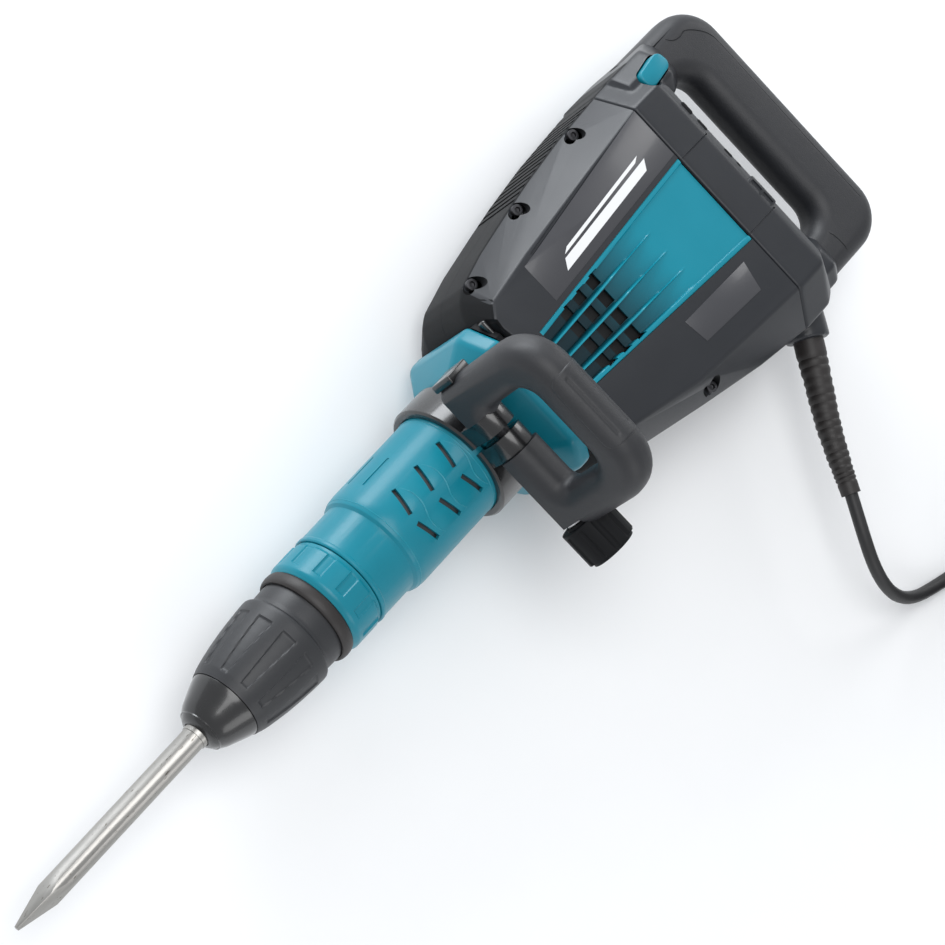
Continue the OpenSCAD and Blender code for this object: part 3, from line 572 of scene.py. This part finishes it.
bm = bmesh.new()
sides = 48
profile = plug_profile()
rings = []
for k in range(sides):
    t = 2 * math.pi * k / sides
    rings.append([])
    for x, r in profile:
        flat = 1 - 0.05 * math.cos(4 * t) * (r > 14)
        rings[-1].append(bm.verts.new(at(PLUG.x + x, PLUG.y + r * math.cos(t) * flat,
                                         PLUG.z + r * math.sin(t))))
for k in range(sides):
    j = (k + 1) % sides
    for i in range(len(profile) - 1):
        bm.faces.new((rings[k][i], rings[k][i + 1], rings[j][i + 1], rings[j][i]))
bmesh.ops.remove_doubles(bm, verts=bm.verts, dist=2e-5)
bmesh.ops.recalc_face_normals(bm, faces=bm.faces)
plug = settle(new_object("plug_shell", bm), "hammer", CORD, ["plug_body"])
refined("plug_contacts", "plug_pins", 0.8, 3)

# The guard where the cord leaves the housing: ribbed, tapered and a little bent
GUARD = [Vector((527, -128, 0)), Vector((467, -223, 0))]
along = (GUARD[1] - GUARD[0]).normalized()
across = Vector((-along.y, along.x, 0))
bend = [(-16, 0), (0, 0), (12, -0.5), (30, -1.3), (48, -2.3), (64, -2.8), (80, -2.3), (94, -1.5),
        (104, -0.7), (112.6, 0)]
guard_path = curve_points([GUARD[0] + along * a + across * b for a, b in bend], 9)
RIB_PITCH = 5.2


def guard_radius(s):
    """Radius at a share of the guard's length: a cone with round grooves, then a plain end."""
    x = -16 + 128.6 * s
    r = 11 - 4.2 * max(0, (x - 12) / 100)
    if 10 < x < 100:
        phase = (x / RIB_PITCH) % 1
        r -= 0.75 * step(0.45, 0.2, phase) * (1 - step(0.9, 0.1, phase))
    return 7.1 if x > 104 else r


guard = tube_of("cord_guard_ribbed", guard_path, guard_radius, 28)
settle(guard, "hammer", RIM, ["cord_guard"])

# ------------------------------------------------------------------ front end

refined("chisel_worn", "chisel", 0.35, 2)
cap = [(0, 9.6), (0.4, 12.0), (2, 14.2), (4, 16), (6.4, 17.8), (8.8, 19.3), (12.8, 20.9),
       (18, 23.0), (23, 24.9), (26.6, 26.1), (27.3, 26.2), (27.3, 16.3), (3.6, 16.3), (3.6, 9.6)]
settle(lathe_of("nose_cap_skin", cap, 128), "holder", BLACK, ["nose_cap"])


def cover_profile():
    """The release cover swells towards a shoulder and slides on a plain skirt."""
    outer = [(27.7, 26.9), (31, 28.0), (34, 29), (40, 30.3), (46, 31.4), (52, 32.4), (58, 33.2),
             (65, 34.0), (72, 34.6), (78, 35.0), (84, 35.3), (85.8, 35.2), (86.9, 34.7),
             (87.7, 33.8), (88.3, 32.6), (91, 32.2), (94, 32.4), (99, 32.6), (104, 32.6)]
    fine = []
    for (x0, r0), (x1, r1) in zip(outer, outer[1:]):
        n = max(1, int((x1 - x0) / 0.8)) if x0 < 92 else 1
        fine += [(x0 + (x1 - x0) * i / n, r0 + (r1 - r0) * i / n) for i in range(n)]
    fine.append(outer[-1])
    return fine + [(104, 29.6), (66, 29.6), (48, 26.5), (38, 23), (30, 19.5), (30, 16.4),
                   (27.7, 16.4)]


PANELS, FIRST_PANEL = 11, 6.3


def round_arc(t, first, pitch, r):
    """Distance along the circle from the nearest of the places first + n * pitch (degrees)."""
    return ((math.degrees(t) - first + pitch / 2) % pitch - pitch / 2) * math.pi / 180 * r


def cover_relief(x, t, r):
    """Sunken panels that widen towards the rear."""
    if x < 27.8 or r < 26.8 or x > 88:
        return r
    local = round_arc(t, FIRST_PANEL, 360 / PANELS, r)
    half = 2.6 + 3.0 * (x - 34) / 42
    inside = step(0, 0.8, half - abs(local)) * step(34.5, 2.0, x) * (1 - step(76.6, 1.2, x))
    return r - 1.0 * inside


settle(lathe_of("release_cover_skin", cover_profile(), 360, cover_relief), "release", SATIN,
       ["release_cover"])
rim = [(103, 33.2), (103, 34.4), (103.6, 35.0), (105, 35.6), (107.6, 35.9), (110.2, 35.7),
       (111.8, 35.2), (112.5, 34.4), (112.5, 33.2)]
settle(lathe_of("rim_ring_skin", rim, 128), "ring", RIM, ["rim_ring"])


def ring_profile():
    outer = [(112.8, 33.2), (112.8, 34.2), (114.4, 35.6), (116, 36.5), (117, 36.7)]
    outer += [(117 + 0.6 * i, 36.7) for i in range(1, 32)]
    return outer + [(136.2, 36.4), (137.2, 35.5), (138, 35.3), (139.6, 35.3), (139.6, 33),
                    (126, 33), (126, 24.3), (119, 24.3), (119, 33.2)]


def ring_relief(x, t, r):
    """Twelve finger grooves."""
    if r < 36 or x < 116.5:
        return r
    local = round_arc(t, 0, 30, r)
    groove = (1 - step(3.4, 1.0, abs(local))) * step(120.5, 1.0, x)
    return r - 1.2 * groove


settle(lathe_of("change_ring_skin", ring_profile(), 360, ring_relief), "ring", TEAL,
       ["change_ring"])
refined("barrel_cover_skin", "barrel_cover", 0.35, 2)


def on_barrel(x, degrees, r):
    """A point at radius r round the tool axis, 0 degrees on the side that faces up."""
    a = math.radians(degrees)
    return (x, -r * math.sin(a), r * math.cos(a))


# Curved ribs beside the barrel cover's slots, and a hoop at each end
RIB_LINE = ((9.0, -26), (12.2, -14), (11.6, 0), (8.2, 14), (9.2, 26), (13.0, 36))
ribs = []
for turn in (0, 180):
    for x in (192, 215, 238):
        path = curve_points([on_barrel(x + dx, turn + d, 40.15) for dx, d in RIB_LINE], 6)
        ribs.append(tube_of("rib", path, lambda s: 0.32 + 0.55 * math.sin(math.pi * s), 8))
for x, on_r, thick in ((252.2, 40.05, 0.7), (176.4, 39.3, 0.5)):
    ring = [on_barrel(x, 360 * k / 96, on_r) for k in range(97)]
    ribs.append(tube_of("hoop", ring, thick, 8))
settle(joined("barrel_ribs", ribs), "hammer", TEAL)

# ------------------------------------------------------------------ teal case and clamp


def case_points(x, y0, y1, half_z, cut):
    """A rectangle with cut corners, across the tool at x."""
    return [(x, y, z) for y, z in (
        (y0 + cut, -half_z), (y1 - cut, -half_z), (y1, cut - half_z), (y1, half_z - cut),
        (y1 - cut, half_z), (y0 + cut, half_z), (y0, half_z - cut), (y0, cut - half_z))]


def case_run(name, y0, y1, half_z, cut, *ends):
    """The hull between sections of one size at the given x."""
    return hull_of(name, [p for x in ends for p in case_points(x, y0, y1, half_z, cut)])


case = hull_of("crank_case_skin", case_points(284, -43, 43, 42, 14)
               + case_points(303, -61, 58, 59.7, 19) + case_points(315.7, -61, 58, 59.7, 19))
bevelled(case, 3.2, 4, 15)
boolean(case, hull_of("inner", case_points(289, -39, 39, 38, 12) + case_points(306, -52, 50, 51, 14)
                      + case_points(330, -52, 50, 51, 14)))
neck = rod_of("neck", (264, 0, 0), (286, 0, 0), 41.1, sides=96)
boolean(case, neck, "UNION")
boolean(case, rod_of("bore", (250, 0, 0), (300, 0, 0), 34, sides=96))
settle(case, "hammer", TEAL, ["crank_case"])
seal = case_run("case_seal", -57.5, 55.6, 56.4, 14.4, 315.9, 320.5)
boolean(seal, case_run("inner", -53.5, 51.5, 52.4, 12, 310, 330))
settle(seal, "hammer", DARK_LOW)
settle(bevelled(box_of("case_post", (317.5, 38, 46), (321.8, 55, 53.5)), 2.0, 4), "hammer", BLACK)
refined("clamp_band_skin", "clamp_band", 1.2, 3)
refined("clamp_bolt_skin", "clamp_bolt", 0.4, 2, look=DARK_STEEL)
LEAN = math.radians(12)
BOLT = Vector((269, 0, 63))
cap = box_of("bolt_cap", (258.7, 43.3, 52.7), (279.3, 49.3, 73.3), Matrix.Rotation(LEAN, 3, "Y"),
             (BOLT.x, 46, BOLT.z))
settle(bevelled(cap, 1.1, 3), "clamp", BLACK)

# ------------------------------------------------------------------ housing

# Outlines of the housing in x, y: at mid height and on the flat sides, then the teal panel
REAR_X = 511.5
MID = [(318, 50), (320, 60), (323, 66), (328, 72), (336, 77.5), (365, 85), (402, 91.5),
       (430, 96), (468, 100.5), (REAR_X, 103.5),
       (REAR_X, -115.5), (466, -108), (410, -96), (355, -83), (322, -70)]
SIDE = [(322, 50), (330, 59), (376, 65.5), (REAR_X, 80), (REAR_X, -87), (406, -78), (338, -63)]
PANEL = [(345, -27.6), (340.7, 23.5), (511.2, 35.6), (511.2, -39.6)]
SCREWS = [(342, 74.5, 32), (406, 87.3, 32), (478, 95.5, 32), (419, -90, 38)]
VENTS, FIRST_VENT, VENT_PITCH = 14, 412, 7


def rise_at(x):
    """The y of the housing's top edge at x, behind the bend."""
    for (x0, y0), (x1, y1) in zip(MID[6:], MID[7:10]):
        if x <= x1:
            return y0 + (y1 - y0) * (x - x0) / (x1 - x0)
    return MID[9][1]


def housing_hull(name, inset, run_on):
    """The housing's solid, shrunk by inset and drawn out behind by run_on."""
    points = []
    for outline, z in ((MID, 32), (SIDE, 60 - inset)):
        for x, y in outline:
            x = x + run_on if x == REAR_X else x + inset
            y = y - inset if y > 0 else y + inset
            points += [(x, y, -z), (x, y, z)]
    return hull_of(name, points)


def shadowed(obj):
    """The narrow top face and the front take the darker matt black: partly a blacker band on the
    real housing, partly painted shade on faces that turn away from the light.
    """
    obj.data.materials.append(DARK_LOW)
    for face in obj.data.polygons:
        if face.normal.y > 0.88 or face.normal.x < -0.45:
            face.material_index = 1


for side, s in (("left", 1), ("right", -1)):
    shell = housing_hull(f"housing_{side}_skin", 0, 6)
    bevelled(shell, 2.2, 4, 12)
    boolean(shell, housing_hull("inner", 4, 20))
    boolean(shell, box_of("rear_trim", (511.3, -200, -100), (540, 200, 100)))
    low, high = sorted((0.15 * s, 100 * s))
    boolean(shell, box_of("half", (250, -150, low), (600, 150, high)), "INTERSECT")
    boolean(shell, box_of("case_seat", (280, -66.3, -80), (316.2, 62.3, 80)))
    boolean(shell, case_run("case_neck", -56.4, 54.4, 55.4, 14, 300, 330))
    boolean(shell, prism_of("opening", PANEL, *sorted((54 * s, 62 * s))))
    for x, y, z in SCREWS if s > 0 else ():
        boolean(shell, rod_of("screw_well", (x, y, z), (x, y, 70), 5.5))
        mouth = ((x - 3, y - 1, z + 2), (x - 9, y + 1, z + 12))
        boolean(shell, rod_of("well_mouth", *mouth, 4.6, 3.6))
    vents = []
    for k in range(VENTS):
        x = FIRST_VENT + VENT_PITCH * k
        y = rise_at(x)
        vents.append(box_of("vent", (x - 1.5, y - 2.6, -31), (x + 1.5, y + 8, 31)))
    boolean(shell, joined("vents", vents))
    # A double line pressed in below the top edge
    for shift in (0, -1.7):
        q, w = Vector((376, 63 + shift, 60 * s)), Vector((497, 79.4 + shift, 60 * s))
        boolean(shell, tube_of("line", [q, (q + w) / 2, w], 0.55, 6))
    settle(shell, "hammer", DARK, [f"housing_{side}"], angle=28)
    shadowed(shell)

# Plain plates and stripes on the side that faces up
label = prism_of("label_plate", [(366, 29.5), (366, 60.2), (379, 61.6), (510.9, 79.2),
                                 (510.9, 39.4)], 59.6, 60.14)
bevelled(label, 0.12, 2)
settle(label, "hammer", LABEL)
stripes = []
for inset, low, high in ((0, 0, 6.6), (7, 9.0, 11.4)):
    x0, x1 = 388 + inset, 486 - inset * 0.4
    stripe = [(x0, 37.5 + low), (x1, 45.4 + low), (x1 + 5, 45.8 + high), (x0 + 5, 37.9 + high)]
    stripes.append(prism_of("stripe", stripe, 59.8, 60.26))
settle(joined("plain_stripes", stripes), "hammer", LETTER)
badge = prism_of("badge_plate", [(427, -43.5), (429.6, -63.5), (488.4, -67.4),
                                 (493.6, -45.5)], 59.6, 60.3)
bevelled(badge, 0.25, 2)
settle(badge, "hammer", LABEL)

# ------------------------------------------------------------------ side panels


FLAT = 60
FIN_RUN = 0.735


def grid_faces(nu, nv):
    """Faces of a thick sheet: nu by nv cells on top, the same below, and the four edges."""
    n = (nu + 1) * (nv + 1)
    faces = []

    def key(i, j):
        return i * (nv + 1) + j

    for i in range(nu):
        for j in range(nv):
            q = (key(i, j), key(i + 1, j), key(i + 1, j + 1), key(i, j + 1))
            faces += [q, tuple(n + k for k in reversed(q))]
    rims = [(key(i, j), key(i + 1, j)) for i in range(nu) for j in (0, nv)]
    rims += [(key(i, j), key(i, j + 1)) for j in range(nv) for i in (0, nu)]
    return faces + [(a, b, n + b, n + a) for a, b in rims]


def panel_edges(g):
    """Lower and upper y of the panel at share g of its length."""
    return -27.4 - 12.0 * g, 23.3 + 12.1 * g


def panel_height(x, g, v, width):
    """Flat at the rear, hollowed towards the front, with a bead on both edges and three fins."""
    front = 1 - step(0.44, 0.56, (x - 343) / 168)
    height = FLAT - 1.2 - 8.8 * front * step(0.045, 0.05, min(v, 1 - v))
    for edge in (0, 1):
        near = abs(v - edge) * width
        if near < 3.6:
            height = max(height, FLAT - 1.2 + 1.0 * (1 - step(1.7, 0.5, abs(near - 1.7))))
    for k in (1, 2, 3):
        off = abs(v - k / 4) * width
        if g < FIN_RUN:
            half = 1.0 * (1 - (g / FIN_RUN) ** 3) + 0.05
            crest = FLAT - 0.1 - 1.6 * (g / FIN_RUN) ** 6
            if off < half + 0.8:
                height = max(height, crest - 7 * step(half, 0.7, off))
    return height


def panel_piece(side, s):
    """The finned teal panel with its louvres, and a dark sheet behind them as painted shade in the
    openings.
    """
    nu, nv = 150, 92
    top, bottom = [], []
    for i in range(nu + 1):
        for j in range(nv + 1):
            g, v = i / nu, j / nv
            y0, y1 = panel_edges(g)
            x0 = 345.3 + (340.9 - 345.3) * v
            x, y = x0 + (510.9 - x0) * g, y0 + (y1 - y0) * v
            height = panel_height(x, g, v, y1 - y0)
            top.append(at(x, y, height * s))
            bottom.append(at(x, y, min(height - 1.4, 56.0) * s))
    obj = from_lists(f"side_panel_{side}_skin", top + bottom, grid_faces(nu, nv))
    louvres = []
    z_low, z_high = sorted((40 * s, 70 * s))
    for k in range(4):
        for m in range(3):
            x = 362 + 15 * m + 1.5 * k
            y0, y1 = panel_edges((x + 5 - 343) / 168)
            mid = y0 + (y1 - y0) * (k + 0.5) / 4
            half = (y1 - y0) / 8 - 2.3
            louvres.append(box_of("louvre", (x, mid - half, z_low), (x + 8.5, mid + half, z_high)))
    boolean(obj, joined("louvres", louvres))
    settle(obj, "hammer", TEAL_SIDE, [f"side_panel_{side}"], angle=40)
    # A dark sheet behind the louvres: painted shade seen through the openings.
    shade_sheet = prism_of(f"panel_backing_{side}", [(350, -26), (346, 22), (436, 28), (438, -32)],
                       46.5 * s, 47.5 * s)
    settle(shade_sheet, "hammer", PAINTED_HOLLOW_SHADE)


panel_piece("left", 1)
panel_piece("right", -1)

# ------------------------------------------------------------------ rear cover, handle and lever


def rear_points():
    """Outlines of the rear cover at three distances from the tool's middle plane."""
    outlines = (
        (32, ((511.8, 103.4), (540, 104), (549, 101), (549, -110), (540, -115.5),
              (511.8, -115.5))),
        (60, ((511.8, 80), (541, 80), (541, -87), (511.8, -87))),
        (55, ((541, 78), (549, 74), (549, -80), (541, -85))))
    return [(x, y, s * z) for z, outline in outlines for x, y in outline for s in (-1, 1)]


def shoulder_points(y_mid, half_y, z_wide, x_end):
    """A shoulder that carries one end of the handle."""
    return (case_points(528, y_mid - half_y, y_mid + half_y, z_wide, 12)
            + case_points(562, y_mid - half_y, y_mid + half_y, z_wide, 12)
            + case_points(x_end, y_mid - half_y + 1, y_mid + half_y - 1, 17.5, 8))


body = hull_of("body", rear_points())
for part in (hull_of("upper_shoulder", shoulder_points(85, 19.5, 50, 588)),
             hull_of("lower_shoulder", shoulder_points(-91, 19.5, 38, 578)),
             rod_of("outlet", tuple(GUARD[0] - along * 26), tuple(GUARD[0]), 16, sides=48)):
    boolean(body, part, "UNION")
remeshed(body, 1.25, 16)
boolean(body, box_of("front_trim", (500, -200, -100), (511.9, 200, 100)))
body.name = "rear_cover_skin"


def stadium(cx, cy, w, h, r, turn, n=10):
    """The outline of a turned rectangle with round corners."""
    out = []
    for sx, sy, a0 in ((1, 1, 0), (-1, 1, 90), (-1, -1, 180), (1, -1, 270)):
        for k in range(n + 1):
            a = math.radians(a0 + 90 * k / n)
            x, y = sx * (w / 2 - r) + r * math.cos(a), sy * (h / 2 - r) + r * math.sin(a)
            c, s = math.cos(math.radians(turn)), math.sin(math.radians(turn))
            out.append((cx + c * x - s * y, cy + s * x + c * y))
    return out


boolean(body, prism_of("lever_well", stadium(551, 88, 28.5, 16.5, 6.2, 8), -80, 80))
boolean(body, box_of("dial_well", (543, -6.5, 33), (556, 22.5, 43)))
boolean(body, box_of("lamp_well", (545, -36.2, 24.8), (556, -9.8, 50.2)))
boolean(body, rod_of("cord_bore", tuple(GUARD[0] - along * 30), tuple(GUARD[0] + along * 2), 11.2,
                     sides=40))
for path in ([(512, 33.2, 60), (541, 32.8, 60), (549.2, 32.6, 52)],
             [(511.5, -36.2, 60), (541, -36.2, 60), (549.2, -36.2, 52)],
             [(549.1, 33, 55), (549.1, 33, 0), (549.1, 33, -55)],
             [(549.1, -36.5, 55), (549.1, -36.5, 0), (549.1, -36.5, -55)]):
    boolean(body, tube_of("seam", path, 0.6, 6))
settle(body, "hammer", DARK, ["rear_cover"], angle=40)
# The rear cover's top faces take the same darker matt black, partly painted shade as on the
# housing.
body.data.materials.append(DARK_LOW)
for face in body.data.polygons:
    if face.normal.y > 0.9 and face.center.x < at(548, 0, 0).x:
        face.material_index = 1
edge_parts = []
for low, high, top in ((49, 60, 58.2), (33.6, 44, 57.6), (8, 17, 57.4), (-1, 4.5, 57.2)):
    edge_parts.append(bevelled(box_of("lug", (541.5, low, 46), (547.6, high, top)), 1.6, 3))
settle(joined("rear_edge_lugs", edge_parts), "hammer", DARK_LOW)
lamp_block = bevelled(box_of("lamp_hood", (533, -35, 50), (547.2, -9.5, 59.9)), 1.8, 3)
for low, high in ((-33, -23.5), (-21.5, -12)):
    boolean(lamp_block, box_of("window", (530, low, 59.1), (544.5, high, 62)))
settle(lamp_block, "hammer", DARK)


def loop_rings(outer, inner, half, r, n_arc=10, corner_n=12):
    """A closed loop between two rounded rectangles, with rounded edges, as rings of (u, v, w).

    Each rectangle is (u0, v0, u1, v1, corner radii), half is half the thickness, r the edge radius.
    """
    def rounded(rect, inset):
        u0, v0, u1, v1, radii = rect
        corners = ((u1, v1, -1, -1), (u0, v1, 1, -1), (u0, v0, 1, 1), (u1, v0, -1, 1))
        out = []
        for (cu, cv, su, sv), rad, a0 in zip(corners, radii, (0, 90, 180, 270)):
            rr = max(0.4, rad - inset)
            bu, bv = cu + su * rad, cv + sv * rad
            for k in range(corner_n + 1):
                a = math.radians(a0 + 90 * k / corner_n)
                out.append((bu + rr * math.cos(a), bv + rr * math.sin(a)))
        return out

    rings = []
    for rect, sign, order in ((outer, 1, range(n_arc + 1)), (inner, -1, range(n_arc, -1, -1))):
        for k in order:
            a = math.radians(90 * k / n_arc)
            flat = rounded(rect, sign * r * (1 - math.cos(a)))
            rings.append([(u, v, half - r + r * math.sin(a)) for u, v in flat])
    return rings + [[(u, v, -w) for u, v, w in ring] for ring in reversed(rings)]


def loop_mesh(name, rings, place):
    """Rings joined in turn, the last one to the first. place(u, v, w) gives the frame's place."""
    n = len(rings[0])
    bm = bmesh.new()
    made = [[bm.verts.new(place(*p)) for p in ring] for ring in rings]
    for i, a in enumerate(made):
        b = made[(i + 1) % len(made)]
        for k in range(n):
            j = (k + 1) % n
            bm.faces.new((a[k], a[j], b[j], b[k]))
    bmesh.ops.remove_doubles(bm, verts=bm.verts, dist=1e-6)
    bmesh.ops.recalc_face_normals(bm, faces=bm.faces)
    return new_object(name, bm)


bar = loop_mesh("rear_handle_skin", loop_rings(
    (528, -111, 642, 105, (31, 10, 10, 31)),
    (548, -74.5, 598, 68.5, (17, 14, 14, 17)), 18, 14.5), at)
boolean(bar, box_of("hidden", (500, -150, -40), (562, 150, 40)))
seams = [
    curve_points([(589, 107, 17.9), (594, 103.5, 17.9), (600, 92, 17.9), (607, 88.5, 17.9),
                  (615, 89, 17.9), (623, 83, 17.9), (629, 74, 17.9), (630.5, 60, 17.9),
                  (630.5, 0, 17.9), (630.5, -84, 17.9)], 5),
    curve_points([(562, -68, 16.5), (571, -72, 17.9), (582, -77, 17.9), (590, -85, 17.9),
                  (592, -97, 17.9), (591, -108, 16)], 5)]
for path in seams:
    for s in (1, -1):
        boolean(bar, tube_of("seam", [(x, y, z * s) for x, y, z in path], 0.55, 6))
settle(bar, "hammer", GRIP, ["handle_grip"], angle=45)

lever = prism_of("lever_skin", stadium(551, 88, 26, 14, 5.6, 8), -47, 53)
bevelled(lever, 1.4, 3)
settle(lever, "switch", TEAL, ["switch_lever"])
refined("dial_skin", "speed_dial", 0.4, 2)
refined("lamps_skin", "indicator_lamps", 0.6, 2)
refined("screws_skin", "housing_screws", 0.4, 2)

# ------------------------------------------------------------------ side handle and knob

OUT = Vector((math.sin(LEAN), 0, math.cos(LEAN)))
WIDE = Vector((math.cos(LEAN), 0, -math.sin(LEAN)))


def side_at(u, v, w):
    """u along the bolt, v out to the grip, w across the loop."""
    return at(*(BOLT + OUT * v + WIDE * w + Vector((0, u, 0))))


loop = loop_mesh("side_grip_skin", loop_rings(
    (-85, -14, 45, 90, (34, 34, 9, 9)), (-55, 14.6, 15, 60, (13, 13, 6, 6)), 15, 13.2), side_at)
boolean(loop, box_of("clamp_gap", (240, -18.3, 30), (300, 14.3, 78.5)))
boolean(loop, rod_of("bolt_hole", (269, -100, 63), (269, 60, 63), 5.1))
boolean(loop, box_of("end_low", (230, -120, 30), (300, -76, 78)))
boolean(loop, box_of("end_high", (230, 43, 30), (300, 80, 72)))
settle(loop, "side_handle", GRIP, ["side_grip"], angle=45)


def pad_point(u, a, r):
    """A point at angle a and radius r round the middle of the grip's outer bar."""
    return side_at(u, 75 + r * math.cos(a), r * math.sin(a))


# The pad lies round the grip's outer bar, with rounded corners and two long grooves
NU, NA = 90, 48
PAD_LOW, PAD_HIGH, PAD_HALF = -52, 10, 74
PAD_RADIUS, CORNER = 16, 9
upper, lower = [], []
for i in range(NU + 1):
    for j in range(NA + 1):
        u = PAD_LOW + (PAD_HIGH - PAD_LOW) * i / NU
        a = math.radians(-PAD_HALF + 2 * PAD_HALF * j / NA)
        rim_u = min(u - PAD_LOW, PAD_HIGH - u)
        rim_a = (math.radians(PAD_HALF) - abs(a)) * PAD_RADIUS
        if min(rim_u, rim_a) < 6 and (rim_u > CORNER or rim_a > CORNER):
            near = min(rim_u, rim_a)
        else:
            near = CORNER - math.hypot(max(0, CORNER - rim_u), max(0, CORNER - rim_a))
        r = 14.4 + 1.7 * step(1.3, 1.6, near)
        groove = 1 - step(0.9, 0.9, abs(abs(a) * PAD_RADIUS - 7.0))
        upper.append(pad_point(u, a, r - 0.75 * groove * step(7, 3, rim_u)))
        lower.append(pad_point(u, a, 13.6))
settle(from_lists("side_pad_skin", upper + lower, grid_faces(NU, NA)), "side_handle", GRIP,
       ["side_grip_pad"], angle=50)
refined("washer_skin", "clamp_washer", 0.3, 2)
refined("knob_skin", "clamp_knob", 1.0, 3)

# ------------------------------------------------------------------ floor

bm = bmesh.new()
bmesh.ops.create_grid(bm, x_segments=2, y_segments=2, size=4)
floor = new_object("floor", bm)
floor.data.materials.append(skin("paper", (0.86, 0.87, 0.88), 0.7, grain=300, bump=0.02,
                                 shade=0.01))
